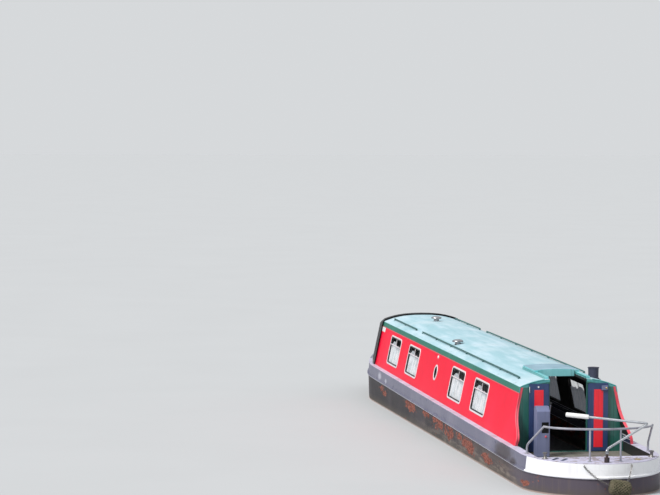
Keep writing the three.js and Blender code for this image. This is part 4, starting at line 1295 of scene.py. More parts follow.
@dataclass(frozen=True)
class PartRow:
    """A Geometry Nodes tree that sets one kind of small part along a line."""

    kind: PartKind

    def one(self, g: Graph, size: Value) -> Value:
        """Makes one part, its axis along Z.

        Args:
            g: The tree's graph.
            size: The part's size.

        Returns:
            Its geometry.
        """
        if self.kind is PartKind.SCREW:
            return g.value("GeometryNodeMeshCone", {
                "Vertices": 10, "Radius Top": size * 0.6, "Radius Bottom": size, "Depth": size * 0.5})
        if self.kind is PartKind.EYELET:
            hoop = g.value("GeometryNodeCurvePrimitiveCircle", {"Resolution": 12, "Radius": size})
            turn, wire = (0.0, 0.0, 0.0), size * 0.3
        else:
            frame_shape = g.value("GeometryNodeCurvePrimitiveQuadrilateral",
                                  {"Width": size, "Height": size * 1.8})
            hoop = g.value("GeometryNodeFilletCurve",
                           {"Curve": frame_shape, "Radius": size * 0.49, "Count": 4}, mode="POLY")
            turn, wire = (math.pi / 2, 0.0, 0.0), size * 0.17
        section = g.value("GeometryNodeCurvePrimitiveCircle", {"Resolution": 6, "Radius": wire})
        body = g.value("GeometryNodeCurveToMesh", {"Curve": hoop, "Profile Curve": section})
        return g.value("GeometryNodeTransform", {"Geometry": body, "Rotation": turn})

    def tree(self) -> Tree:
        """Gives the tree, made at the first call.

        Returns:
            The tree, with inputs Line, Size, Count and Finish.
        """
        name = f"{self.kind.value} row"
        known = bpy.data.node_groups.get(name)
        if known:
            return known
        tree = bpy.data.node_groups.new(name, "GeometryNodeTree")
        for label, kind in [("Line", "Geometry"), ("Size", "Float"), ("Count", "Int"),
                            ("Finish", "Material")]:
            tree.interface.new_socket(label, in_out="INPUT", socket_type=f"NodeSocket{kind}")
        tree.interface.new_socket("Parts", in_out="OUTPUT", socket_type="NodeSocketGeometry")
        g = Graph(tree)
        start = g.outputs(g.add("NodeGroupInput"))
        curve = g.value("GeometryNodeMeshToCurve", {0: start["Line"]})
        points = g.outputs(g.add("GeometryNodeCurveToPoints",
                                 {"Curve": curve, "Count": start["Count"]}, mode="COUNT"))
        if self.kind is PartKind.LINK:
            quarter = g.value("GeometryNodeInputIndex") * (math.pi / 2)
            spin = g.value("ShaderNodeCombineXYZ", {"Z": quarter})
            turned = g.value("FunctionNodeEulerToRotation", {0: spin})
            facing = g.value("FunctionNodeRotateRotation", {0: points["Rotation"], 1: turned},
                             rotation_space="LOCAL")
        else:
            out = g.value("GeometryNodeInputNamedAttribute", {"Name": "facing"}, data_type="FLOAT_VECTOR")
            facing = g.value("FunctionNodeAlignRotationToVector", {"Vector": out}, axis="Z")
        parts = g.value("GeometryNodeInstanceOnPoints", {
            "Points": points["Points"], "Instance": self.one(g, start["Size"]), "Rotation": facing})
        real = g.value("GeometryNodeRealizeInstances", {0: parts})
        done = g.value("GeometryNodeSetMaterial", {"Geometry": real, "Material": start["Finish"]})
        g.add("NodeGroupOutput", {0: done})
        return tree

    def along(self, name: str, lines: Sequence[tuple[Sequence[Vector], Vector]], closed: bool,
              size: float, count: int, finish: Finish) -> bpy.types.Mesh:
        """Sets parts along lines.

        Args:
            name: Name of the mesh.
            lines: Points of each line, and the way that its parts face.
            closed: Whether the lines close on themselves.
            size: Size of a part.
            count: Number of parts on each line.
            finish: Their finish.

        Returns:
            The plain mesh.
        """
        points = [p for line, _ in lines for p in line]
        edges, first = [], 0
        for line, _ in lines:
            edges += [(first + i, first + i + 1) for i in range(len(line) - 1)]
            edges += [(first + len(line) - 1, first)] if closed else []
            first += len(line)
        base = bpy.data.meshes.new(f"{name}_line")
        base.from_pydata(points, edges, [])
        facing = base.attributes.new("facing", "FLOAT_VECTOR", "POINT")
        facing.data.foreach_set("vector", [c for line, way in lines for _ in line for c in way])
        holder = link(bpy.data.objects.new(f"{name}_line", base))
        modifier = holder.modifiers.new("row", "NODES")
        modifier.node_group = self.tree()
        values = {"Size": size, "Count": count, "Finish": finish.material()}
        for item in modifier.node_group.interface.items_tree:
            if item.in_out == "INPUT" and item.name in values:
                modifier[item.identifier] = values[item.name]
        depsgraph = bpy.context.evaluated_depsgraph_get()
        made = bpy.data.meshes.new_from_object(holder.evaluated_get(depsgraph), depsgraph=depsgraph)
        made.name = name
        bpy.data.objects.remove(holder)
        return made


# Sub-assemblies


@dataclass
class Studio:
    """Camera, lights, world and floor."""

    eye: Point = (-42.7038, 9.4481, 6.1392)
    yaw: float = -9.0694
    pitch: float = -3.2825
    roll: float = 0.3057
    focal_pixels: float = 2539.89
    frame_pixels: int = 660
    sun: float = 3.0
    sun_from: Point = (-0.42, 0.75, 0.95)
    sun_wide: float = 14.0
    sun_colour: Colour = (1.0, 0.985, 0.96)
    sky: float = 0.72
    ground_light: Colour = (0.10, 0.105, 0.11)
    sky_light: Colour = (0.90, 0.95, 1.0)
    backdrop: Colour = (0.676, 0.694, 0.71)
    floor_reach: float = 700.0

    def camera(self) -> None:
        """Sets the camera where the photograph was taken from."""
        yaw, pitch, roll = (math.radians(a) for a in (self.yaw, self.pitch, self.roll))
        ahead = Vector((math.cos(pitch) * math.cos(yaw), math.cos(pitch) * math.sin(yaw),
                        math.sin(pitch)))
        right = Vector((ahead.y, -ahead.x, 0)).normalized()
        up = right.cross(ahead)
        across = right * math.cos(roll) + up * math.sin(roll)
        upward = up * math.cos(roll) - right * math.sin(roll)
        lens = bpy.data.cameras.new("photograph")
        lens.sensor_width = 36.0
        lens.lens = self.focal_pixels * lens.sensor_width / self.frame_pixels
        lens.clip_end = 900.0
        camera = link(bpy.data.objects.new("photograph", lens))
        turn = Matrix((across, upward, -ahead)).transposed().to_4x4()
        camera.matrix_world = Matrix.Translation(self.eye) @ turn
        bpy.context.scene.camera = camera

    def lights(self) -> None:
        """Sets a broad sun over the port quarter and a bright pale world."""
        lamp = bpy.data.lights.new("soft_sun", "SUN")
        lamp.energy = self.sun
        lamp.angle = math.radians(self.sun_wide)
        lamp.color = self.sun_colour
        sun = link(bpy.data.objects.new("soft_sun", lamp))
        sun.matrix_world = along_axis(Vector(), Vector(self.sun_from))
        world = bpy.data.worlds.new("studio")
        bpy.context.scene.world = world
        world.use_nodes = True
        g = Graph(world.node_tree)
        sky = world.node_tree.nodes["Background"]
        sky.inputs["Strength"].default_value = self.sky
        height = g.axes(g.place("Generated"))[2]
        light = g.mix(g.span(height, 0.02, 0.5), self.ground_light, self.sky_light)
        g.feed(sky.inputs["Color"], light)
        backdrop = g.value("ShaderNodeBackground", {"Color": self.backdrop, "Strength": 1.0})
        seen = g.value("ShaderNodeLightPath", out="Is Camera Ray")
        both = g.value("ShaderNodeMixShader", {0: seen, 1: Value(g, sky.outputs[0]), 2: backdrop})
        g.feed(world.node_tree.nodes["World Output"].inputs["Surface"], both)
        bpy.context.scene.view_settings.view_transform = "Standard"

    def floor(self) -> None:
        """Lays the pale floor at the waterline, which the boat trims to by the stern."""
        reach = self.floor_reach
        shape = Shape()
        corners = [(-reach, -reach), (reach, -reach), (reach, reach), (-reach, reach)]
        shape.face(shape.bm.verts.new((x, y, WATER_AT_MIDSHIP + WATER_SLOPE * x)) for x, y in corners)
        mesh = shape.mesh("studio_floor", closed=False)
        mesh.materials.append(FLOOR.material())
        link(bpy.data.objects.new("studio_floor", mesh))


@dataclass
class Assembly:
    """A part of the boat that is built as one, and puts its pieces into the yard."""

    yard: Yard

    def build(self) -> None:
        """Makes the pieces."""
        raise NotImplementedError


@dataclass
class Hull(Assembly):
    """Plating, strakes, decks and cockpit boards."""

    board_wide: float = 0.14
    board_gap: float = 0.005
    board_step: float = 0.0008
    well_aft: float = -1.603
    well_half: float = 0.853
    coaming_half: float = 0.86
    coaming_from: float = 1.09
    slots: tuple[tuple[Pair, Pair], ...] = (((-1.914, 0.72), (-1.66, 0.562)),
                                            ((-1.998, 0.611), (-1.745, 0.45)))
    cap_at: Point = (-1.95, -0.52, GUNWALE)
    cap: Outline = ((0.05, 0.0003), (0.05, 0.006), (0.046, 0.009), (0.02, 0.011), (0.0, 0.011))

    def build(self) -> None:
        """Dresses the plating and the decks."""
        for node in ["base_plate", "stern_shell", "hull_side_port", "hull_side_starboard",
                     "bow_shell", "rubbing_strake_port", "rubbing_strake_starboard"]:
            slot = "band_grey" if "strake" in node else "hull_black"
            self.yard.refine(node, [HULL], slot, sharp=28)
        for node in ["side_deck_port", "side_deck_starboard"]:
            self.yard.refine(node, [DECK], "deck_paint")
        self.yard.refine("foredeck", [FOREDECK], "band_grey")
        self.yard.refine("stern_deck", [DECK, HULL, INSIDE, DARK], "deck_paint", self.deck_part)
        self.boards()
        self.deck_gear()
        for node in ["mooring_stud_port", "mooring_stud_starboard", "bow_mooring_post"]:
            self.yard.refine(node, [CHAIN], "hull_black", sharp=50)

    def deck_part(self, middle: Vector, normal: Vector) -> int:
        """Number of the finish of a face of the stern deck.

        Args:
            middle: The face's middle.
            normal: Its normal.

        Returns:
            0 for the deck, 1 for its outer edge, 2 for the well's lining and 3 for its rim, which is
            painted black as painted shade.
        """
        if middle.z < BOARD_TOP - 0.03:
            return 2
        upright, out = abs(normal.z) < 0.5, abs(middle.y)
        # Painted shade: the upright faces inside the well get the black finish.
        if upright and out < self.well_half and middle.x > row(self.well_aft):
            return 3
        return 1 if upright and middle.z > self.coaming_from and out > self.coaming_half else 0

    def boards(self) -> None:
        """Lays the cockpit's boards one by one, with gaps between them."""
        low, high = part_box("deck_boards")
        shape = Shape()
        count = round((high.y - low.y) / self.board_wide)
        wide = (high.y - low.y) / count
        for k in range(count):
            y0 = low.y + k * wide + self.board_gap / 2
            y1 = low.y + (k + 1) * wide - self.board_gap / 2
            shape.box((low.x, y0, low.z), (high.x, y1, high.z - self.board_step * (k % 3)))
        mesh = shape.mesh("deck_boards_laid")
        self.yard.fit("deck_boards_laid", mesh, [TIMBER], "boards", "deck_boards", bevel=0.003)

    def deck_gear(self) -> None:
        """Sets the two lifting slots and the filler cap into the stern deck; a black strip in each slot
        is painted shade.
        """
        shape = Shape()
        for (x0, y0), (x1, y1) in self.slots:
            way = Vector((x1 - x0, y1 - y0, 0))
            turn = placed((x0 + x1) / 2, (y0 + y1) / 2, GUNWALE, math.atan2(way.y, way.x))
            shape.use(0).slab(rounded(way.length * 0.8, 0.05, 0.02, 4), 0.0002, 0.005, turn)
            # Painted shade: a black strip stands for the dark inside each slot.
            shape.use(1).slab(rounded(way.length * 0.7, 0.028, 0.012, 4), 0.004, 0.0062, turn)
        shape.use(2).lathe(self.cap, placed(*self.cap_at), 28)
        self.yard.fit("stern_deck_gear", shape, [POD, DARK, BRASS], "deck_paint", bevel=0.001)


@dataclass
class Cabin(Assembly):
    """Cabin sides, roof, bulkheads, floor and their trim."""

    bead: float = 0.009
    inset: float = 0.006
    wing: Outline = ((-0.37, -0.05), (-0.385, 0.02), (-0.4, 0.105), (-0.32, 0.19), (-0.19, 0.28),
                     (-0.09, 0.37), (-0.022, 0.48), (0.0, 0.6))
    wing_span: Pair = (0.006, 0.735)
    edge_bead: Pair = (1.829, 1.84)
    edge_bead_end: float = 11.33
    rim_station: float = 0.004
    rim_y: tuple[float, ...] = (0.73, 0.686, 0.628, 0.555, 0.467, 0.365)
    plate_at: Pair = (11.18, 0.70)
    lamp_at: Pair = (5.92, 0.695)

    def half(self, z: float) -> float:
        """Half breadth of the cabin at a height."""
        return FOOT_HALF + (ROOF_HALF - FOOT_HALF) * (z - GUNWALE) / (ROOF_EDGE - GUNWALE)

    def build(self) -> None:
        """Dresses the shell, then adds beads, the roof's end rim and marks."""
        for side, name in SIDES:
            self.yard.refine(f"cabin_side_{name}", [RED, INSIDE, GREEN, PINK], "cabin_red", lambda middle,
                             normal, s=side: self.side_part(s, middle, normal), sharp=30)
        for node in ("cabin_roof", "roof_side_port", "roof_side_starboard"):
            self.yard.refine(node, [ROOF, TEAL, INSIDE], "roof_paint", self.roof_part, sharp=30)
        self.yard.refine("rear_bulkhead", [GREEN, INSIDE], "trim_green",
                         lambda middle, normal: 1 if normal.x > 0.5 else 0, bevel=0.002)
        self.yard.refine("front_bulkhead", [NAVY, INSIDE], "trim_green",
                         lambda middle, normal: 1 if normal.x < -0.5 else 0)
        self.yard.refine("cabin_floor", [TIMBER], "boards")
        self.beads()
        self.rim()
        self.marks()

    def side_part(self, side: int, middle: Vector, normal: Vector) -> int:
        """Number of the finish of a face of a cabin side.

        Args:
            side: 1 for port, -1 for starboard.
            middle: The face's middle.
            normal: Its normal.

        Returns:
            0 for the outer face, 1 for the lining, 2 for the wing's inside and 3 for its edge.
        """
        facing = normal.y * side * math.cos(LEAN) + normal.z * math.sin(LEAN)
        if facing > 0.5:
            return 0
        if facing < -0.5:
            return 2 if middle.x < row(0.0) else 1
        if normal.x < -0.3 and middle.x < row(0.05):
            return 3 if middle.z < GREEN_FROM else 0
        return 1

    def roof_part(self, middle: Vector, normal: Vector) -> int:
        """Number of the finish of a face of the roof.

        Args:
            middle: The face's middle.
            normal: Its normal.

        Returns:
            0 for the top, 1 for the fascia and 2 for the lining.
        """
        under = middle.z < roof_z(middle.y) - 0.02
        if under and abs(middle.y) < self.half(middle.z) - 0.02 and abs(normal.x) < 0.5:
            return 2
        return 1 if abs(normal.x) > 0.5 or normal.z < 0.35 else 0

    def beads(self) -> None:
        """Adds the bead round each wing and the bead under each fascia."""
        shape = Shape()
        low, high = self.edge_bead
        start, end = self.wing_span
        for side, _ in SIDES:
            edge = flowing([(x, up, 0.0) for x, up in self.wing], 40)
            path = [at(p.x, side * (self.half(GUNWALE + p.y) - self.inset), GUNWALE + p.y)
                    for p in edge if start < p.y < end]
            path.append(at(0.0, side * (self.half(1.83) - self.inset), 1.83))
            shape.tube(path, self.bead, 10)
            foot = self.half(ROOF_EDGE - CANT_TALL) + 0.0005
            y0, y1 = sorted((side * foot, side * (foot + self.inset)))
            shape.box((row(0.0), y0, low), (row(self.edge_bead_end), y1, high))
        self.yard.fit("cabin_beads", shape, [PINK], "cabin_red", bevel=0.0015)

    def rim(self) -> None:
        """Adds the rim along the roof's aft edge, on each side up to the hatchway."""
        shape = Shape()
        x, z = self.rim_station, self.edge_bead[1]
        for side, _ in SIDES:
            path = [at(x, side * self.half(z), z)]
            path += [at(x, side * y, roof_z(y) + 0.003) for y in self.rim_y]
            shape.tube(path, self.bead, 10)
        self.yard.fit("roof_end_rim", shape, [TEAL], "trim_green")

    def marks(self) -> None:
        """Adds the small blank plate near the fore end and the lamp over the porthole."""
        plate = Shape().slab(rounded(0.30, 0.085, 0.01, 3), 0.0006, 0.004, side_frame(1, *self.plate_at))
        self.yard.fit("blank_plate", plate, [PLATE], "window", bevel=0.001)
        lamp, matrix = Shape(), side_frame(1, *self.lamp_at)
        lamp.lathe([(0.028, 0.0005), (0.028, 0.01), (0.02, 0.018), (0.006, 0.022)], matrix, 24)
        lamp.use(1).slab(rounded(0.05, 0.11, 0.02, 4), 0.0004, 0.006, matrix)
        self.yard.fit("side_lamp", lamp, [PLATE, PINK], "window", bevel=0.001)


def side_frame(side: int, station: float, up: float) -> Matrix:
    """Places things on a cabin side.

    Args:
        side: 1 for port, -1 for starboard.
        station: Station along the side.
        up: Distance up the slope from the side's foot.

    Returns:
        A matrix whose X runs along the side, Y up its slope and Z out of it.
    """
    upward = Vector((0, -side * math.sin(LEAN), math.cos(LEAN)))
    outward = Vector((0, side * math.cos(LEAN), math.sin(LEAN)))
    foot = at(station, side * FOOT_HALF, GUNWALE)
    turn = Matrix((Vector((-side, 0, 0)), upward, outward)).transposed().to_4x4()
    return Matrix.Translation(foot + upward * up) @ turn


@dataclass
class WindowSet(Assembly):
    """The eight windows and two portholes, with their screws and net curtains."""

    stations: tuple[float, ...] = (2.4, 4.17, 7.97, 9.77)
    wide: float = 1.03
    tall: float = 0.545
    corner: float = 0.075
    up: float = 0.4075
    flange_wide: float = 0.028
    sight: float = 0.044
    transom: float = 0.125
    porthole_at: Pair = (5.92, 0.425)
    porthole_radius: float = 0.137
    porthole_flange: float = 0.034
    porthole_sight: float = 0.042
    pane_lap: float = 0.004
    pane: Pair = (-0.0042, -0.0082)
    screw: float = 0.0042
    screws: int = 22
    hang: float = -0.0195
    header: float = 0.065
    curtain_lap: float = 0.007
    columns: int = 150
    rows: int = 14

    def flange(self, wide: float) -> Outline:
        """Section of the flange on the cabin's skin: inset and height of each point round it."""
        return [(0, 0.0005), (0, 0.005), (0.003, 0.0085), (wide - 0.003, 0.0085), (wide, 0.0055),
                (wide, 0.0005)]

    def liner(self, start: float, sight: float) -> Outline:
        """Section of the liner that holds the panes, from its outer face to the sight line."""
        return [(start, 0.004), (sight - 0.004, 0.0), (sight, -0.0025), (sight, -0.0095),
                (start + 0.004, -0.0095), (start + 0.004, -0.026), (start, -0.026)]

    def glaze(self, node: str, shape: Shape, pane: Outline, matrix: Matrix) -> None:
        """Sets the pane into a frame and its liner, and fits the whole in place of its node."""
        shape.use(2).slab(pane, *self.pane, matrix)
        self.yard.fit(f"{node}_glazed", shape, [FRAME, RUBBER, GLASS], "window", node, sharp=40)

    def outline(self, inset: float, arcs: int = 7) -> Outline:
        """A window's outline drawn in."""
        return rounded(self.wide - 2 * inset, self.tall - 2 * inset, max(0.02, self.corner - inset), arcs)

    def window(self, side: int, name: str, number: int, station: float) -> None:
        """Builds one window.

        Args:
            side: 1 for port, -1 for starboard.
            name: Name of the side.
            number: Number of the window.
            station: Its station.
        """
        matrix = side_frame(side, station, self.up)
        sight = self.sight
        shape = Shape().ring(self.flange(self.flange_wide), self.outline, matrix)
        # The liner gets the seal's black, darker than the frame: partly a dark liner, partly painted
        # shade inside the frame.
        shape.use(1).ring(self.liner(self.flange_wide + 0.0015, sight), self.outline, matrix)
        left, top = self.wide / 2 - sight - 0.002, self.tall / 2 - sight
        bar = top - self.transom
        shape.use(0).box((-left, bar - 0.008, -0.0095), (left, bar + 0.008, 0.003), matrix)
        shape.box((-0.007, bar + 0.008, -0.009), (0.007, top - 0.002, 0.0), matrix)
        for catch in (-left * 0.5, left * 0.5):
            shape.box((catch - 0.02, bar + 0.009, -0.002), (catch + 0.02, bar + 0.020, 0.0045), matrix)
        seal = [(sight - 0.001, -0.001), (sight + 0.004, -0.0012), (sight + 0.006, -0.003),
                (sight + 0.006, -0.0035), (sight - 0.001, -0.0035)]
        shape.use(1).ring(seal, self.outline, matrix)
        pane = self.outline(sight - self.pane_lap)
        self.glaze(f"window_{name}_{number}", shape, pane, matrix)

    def porthole(self, side: int, name: str) -> None:
        """Builds one porthole with its thick ring and its dark pane.

        Args:
            side: 1 for port, -1 for starboard.
            name: Name of the side.
        """
        matrix = side_frame(side, *self.porthole_at)

        def outline(inset: float) -> Outline:
            """The ring's outline drawn in."""
            return circle(self.porthole_radius - inset, 48)

        shape = Shape().ring(self.flange(self.porthole_flange), outline, matrix)
        shape.use(1).ring(self.liner(self.porthole_flange + 0.0005, self.porthole_sight), outline, matrix)
        pane = outline(self.porthole_sight - self.pane_lap)
        self.glaze(f"porthole_{name}", shape, pane, matrix)

    def net(self, matrix: Matrix, seed: float) -> list[list[Vector]]:
        """Lines of points down a gathered net, from its header to its foot.

        Args:
            matrix: Places the window on the cabin's side.
            seed: Makes the folds of one net differ from another's.

        Returns:
            The lines, each from one side of the window to the other.
        """
        half = self.wide / 2 - self.sight + self.curtain_lap
        top, foot = self.drop()
        lines = []
        for j in range(self.rows + 1):
            share = j / self.rows
            y = top + (foot - top) * share
            line = []
            for i in range(self.columns + 1):
                u = 2 * i / self.columns - 1
                bend = 1.7 * noise.noise((u * 4, seed, 0)) + 0.25 * share * math.sin(9 * u)
                wave = math.sin(u * 46 + bend)
                fine = noise.noise((u * 21, share * 1.6, seed))
                depth = self.hang + 0.005 * wave * (0.55 + 0.45 * share) + 0.0018 * fine
                ripple = 0.0035 * math.sin(u * 31 + seed) * share * (j == self.rows)
                header = 0.008 + self.header * math.exp(-((u + 0.42) / 0.36) ** 4)
                line.append(matrix @ Vector((u * half * (1 - 0.012 * share),
                                             y + ripple + header * (1 - share), depth)))
            lines.append(line)
        return lines

    def drop(self) -> Pair:
        """Heights of a curtain's top and foot, from the middle of its window."""
        return self.tall / 2 - self.sight - self.transom - 0.004, -self.tall / 2 + 0.036

    def curtain(self, side: int, name: str, number: int, station: float) -> None:
        """Hangs a net curtain below the transom, gathered into folds.

        Args:
            side: 1 for port, -1 for starboard.
            name: Name of the side.
            number: Number of the window.
            station: The window's station.
        """
        lines = self.net(side_frame(side, station, self.up), 7.3 * number + (side < 0) * 50)
        spread = sum((b - a).length for a, b in zip(lines[0], lines[0][1:]))
        top, foot = self.drop()
        shape = Shape().skin(lines, loop=False, cap=False)
        layer = shape.bm.loops.layers.uv.new("cloth")
        shape.bm.verts.ensure_lookup_table()
        shape.bm.verts.index_update()
        for face in shape.bm.faces:
            for loop in face.loops:
                j, i = divmod(loop.vert.index, self.columns + 1)
                loop[layer].uv = (spread * i / self.columns, (top - foot) * j / self.rows)
        title = f"net_curtain_{name}_{number}"
        piece = self.yard.fit(title, shape.mesh(title, closed=False), [NET], "window")

    def build(self) -> None:
        """Builds every window, porthole, curtain and row of screws."""
        for side, name in SIDES:
            lines = []
            facing = side_frame(side, 0, 0).to_3x3() @ Vector((0, 0, 1))
            for number, station in enumerate(self.stations, 1):
                self.window(side, name, number, station)
                self.curtain(side, name, number, station)
                outline = self.outline(self.flange_wide / 2, 6)
                matrix = side_frame(side, station, self.up)
                lines.append((lifted(outline, 0.0092, matrix), facing))
            self.porthole(side, name)
            title = f"window_screws_{name}"
            mesh = PartRow(PartKind.SCREW).along(title, lines, True, self.screw, self.screws, STEEL)
            self.yard.fit(title, mesh, [STEEL], "steel")


@dataclass
class RearDoors(Assembly):
    """The two rear doors, folded back flat against the bulkhead, with their fittings."""

    hinge_y: float = 0.304
    wide: float = 0.294
    thick: float = 0.026
    foot: float = 0.962
    top: float = 1.975
    face_x: float = -0.007

    def build(self) -> None:
        """Builds both doors."""
        for side, name in SIDES:
            self.door(side, name)

    def door(self, side: int, name: str) -> None:
        """Builds one door: framed leaf, raised red panels, hinges, lock and hook.

        Args:
            side: 1 for port, -1 for starboard.
            name: Name of the side.
        """
        shape = Shape()
        y0, y1 = self.hinge_y + 0.005, self.hinge_y + 0.005 + self.wide
        front, back = self.face_x - self.thick, self.face_x
        middle = (y0 + y1) / 2

        def block(x0: float, x1: float, a: float, b: float, z0: float, z1: float) -> None:
            """Adds a block on this side of the boat."""
            low, high = sorted((side * a, side * b))
            shape.box((row(x0), low, z0), (row(x1), high, z1))

        block(front, back, y0, y1, self.foot, self.top)
        shape.use(1)
        low, high = self.foot + 0.055, self.top - 0.092
        block(front - 0.0032, front + 0.001, middle - 0.07, middle + 0.07, low, high)
        block(front - 0.0042, front - 0.003, middle - 0.058, middle + 0.058, low + 0.012, high - 0.012)
        shape.use(0)
        pivot = self.face_x - self.thick / 2

        def pin(z0: float, z1: float, radius: float, sides: int) -> None:
            """Adds a round bar on the hinge's axis between two heights."""
            shape.tube([at(pivot, side * self.hinge_y, z) for z in (z0, z1)], radius, sides)

        for z in (self.foot + 0.11, (self.foot + self.top) / 2, self.top - 0.13):
            pin(z - 0.045, z + 0.045, 0.0095, 14)
            block(front - 0.0025, front + 0.001, y0 - 0.006, y0 + 0.035, z - 0.04, z + 0.04)
        pin(self.foot, self.top, 0.0075, 12)
        block(pivot - 0.005, pivot + 0.005, self.hinge_y, y0 + 0.002, self.foot, self.top)
        if side > 0:
            catch = [(0.013, -0.001), (0.013, 0.004), (0.008, 0.008), (0.002, 0.009)]
            shape.use(3).lathe(catch, facing_aft(front, 0.462, 1.925), 20)
            hook = bent([at(front + 0.004, y1 - 0.004, 1.93), at(front - 0.012, y1 - 0.002, 1.93),
                         at(front - 0.014, y1 - 0.002, 1.87), at(front - 0.006, y1 - 0.006, 1.845)], 0.01)
            shape.use(3).tube(hook, 0.004, 8)
        else:
            block(front - 0.02, front, y1 - 0.112, y1 - 0.004, 1.868, 1.95)
            shape.use(4)
            block(front - 0.023, front - 0.019, y1 - 0.104, y1 - 0.012, 1.876, 1.942)
            knob = [(0.006, 0.0), (0.006, 0.010), (0.013, 0.016), (0.014, 0.024), (0.008, 0.029)]
            shape.use(2).lathe(knob, facing_aft(front - 0.022, -(y1 - 0.038), 1.905), 20)
        node = f"rear_door_{name}"
        self.yard.fit(f"{node}_made", shape, [NAVY, PANEL, BRASS, PLATE, POD], "door_navy", node,
                      bevel=0.0018)


@dataclass
class Cratch(Assembly):
    """The black canvas cover over the fore well, and the board that carries it."""

    start: float = 11.34
    cabin_end: float = 11.45
    end: float = 12.34
    shrink: float = 0.17
    fall: float = 0.12
    stand_off: float = 0.026
    turned_in: float = 11.395
    hoop: float = 0.45
    last_hoop: float = 0.05
    seams: tuple[int, ...] = (0, 2, 10, 17)
    front_columns: int = 10
    front_length: float = 0.95
    thick: float = 0.0024
    eyelet: float = 0.011
    eyelets: int = 9

    def ring(self, station: float, sag: float) -> list[Vector]:
        """One line of points over the cover, from the port foot to the starboard foot.

        Args:
            station: Its station.
            sag: How far the cloth hangs in from its hoops there, from 0 to 1.

        Returns:
            The points.
        """
        t = max(0.0, (station - self.cabin_end) / (self.end - self.cabin_end))
        lift = bow_rise(station) if station > self.cabin_end else 0.0
        foot_z = GUNWALE + lift + 0.004
        eave_z = ROOF_EDGE - self.fall * t + 0.4 * lift
        shrink, out = 1 - self.shrink * t, self.stand_off
        foot_y = (FOOT_HALF - 0.0003 + out) * shrink
        eave_y = (ROOF_HALF + out) * shrink
        points = []
        for k in range(9):
            s = k / 8
            bow_in = 0.012 * sag * math.sin(math.pi * s)
            ruck = 0.004 * noise.noise((station * 5, s * 3, 4.0)) * math.sin(math.pi * s)
            points.append(Vector((row(station), foot_y + (eave_y - foot_y) * s - bow_in + ruck,
                                  foot_z + (eave_z - foot_z) * s)))
        for k in range(1, 15):
            s = 1 - k / 14
            z = roof_z(s * ROOF_HALF) + out * 0.9 - self.fall * t + 0.4 * lift
            dip = 0.013 * sag * (1 - s * s) + 0.003 * noise.noise((station * 4, s * 5, 9.0))
            points.append(Vector((row(station), s * eave_y, z - dip)))
        return points + [Vector((p.x, -p.y, p.z)) for p in reversed(points[:-1])]

    def build(self) -> None:
        """Sews the cover, closes its fore end, and adds hem tape and eyelets."""
        self.yard.refine("cratch_board", [NAVY], "door_navy", bevel=0.003)
        spans = 16
        stations = [self.start, self.turned_in]
        stations += [self.cabin_end + (self.end - self.cabin_end) * k / spans for k in range(spans + 1)]
        hoops = [self.cabin_end, self.cabin_end + self.hoop, self.end - self.last_hoop]

        def sag(station: float) -> float:
            """How far between two hoops a station lies."""
            if station <= self.cabin_end or station >= hoops[-1]:
                return 0.0
            a, b = hoops[:2] if station < hoops[1] else hoops[1:]
            return math.sin(math.pi * (station - a) / (b - a))

        rings = [self.ring(s, sag(s)) for s in stations]
        last = rings[-1]
        middle, columns = len(last) // 2, self.front_columns
        shape = Shape().skin(rings, loop=False, cap=False)
        front = [[last[k].lerp(last[-1 - k], c / columns) for c in range(columns + 1)]
                 for k in range(middle)]
        shape.skin(front, loop=False, cap=False)
        bmesh.ops.remove_doubles(shape.bm, verts=shape.bm.verts[:], dist=1e-4)
        crown = [v for v in shape.bm.verts if v.is_boundary and v.co.x > row(self.end) - 1e-4
                 and v.co.z > last[middle - 1].z - 1e-3]
        if len(crown) > 2:
            bmesh.ops.contextual_create(shape.bm, geom=crown)
        bmesh.ops.recalc_face_normals(shape.bm, faces=shape.bm.faces[:])
        layer = shape.bm.loops.layers.uv.new("cloth")
        for face in shape.bm.faces:
            for loop in face.loops:
                co = loop.vert.co
                loop[layer].uv = (co.x + co.z * 0.2, co.y + co.z)
        mesh = shape.mesh("cratch_cover_sewn", closed=False)
        cover = self.yard.fit("cratch_cover_sewn", mesh, [CANVAS], "canvas", "cratch_cover", sharp=50)
        thickness = cover.modifiers.new("thickness", "SOLIDIFY")
        thickness.thickness = self.thick
        thickness.offset = -1.0
        self.hem(rings)

    def hem(self, rings: Sequence[Sequence[Vector]]) -> None:
        """Adds the seams over the hoops and the eyelets along the foot.

        Args:
            rings: The lines of points over the cover, from its aft end to its fore end.
        """
        shape = Shape()
        for index in self.seams:
            shape.tube([p + Vector((0, 0, 0.002)) for p in rings[index]], 0.0045, 8)
        self.yard.fit("cover_seams", shape, [CANVAS], "canvas")
        lines = []
        for side, pick in ((1, 0), (-1, -1)):
            line = [ring[pick] + Vector((0, side * 0.003, 0.03)) for ring in rings[2:]]
            lines.append((line, Vector((0, side, 0.1))))
        mesh = PartRow(PartKind.EYELET).along("cover_eyelets", lines, False, self.eyelet,
                                              self.eyelets, CHAIN)
        self.yard.fit("cover_eyelets", mesh, [CHAIN], "steel")


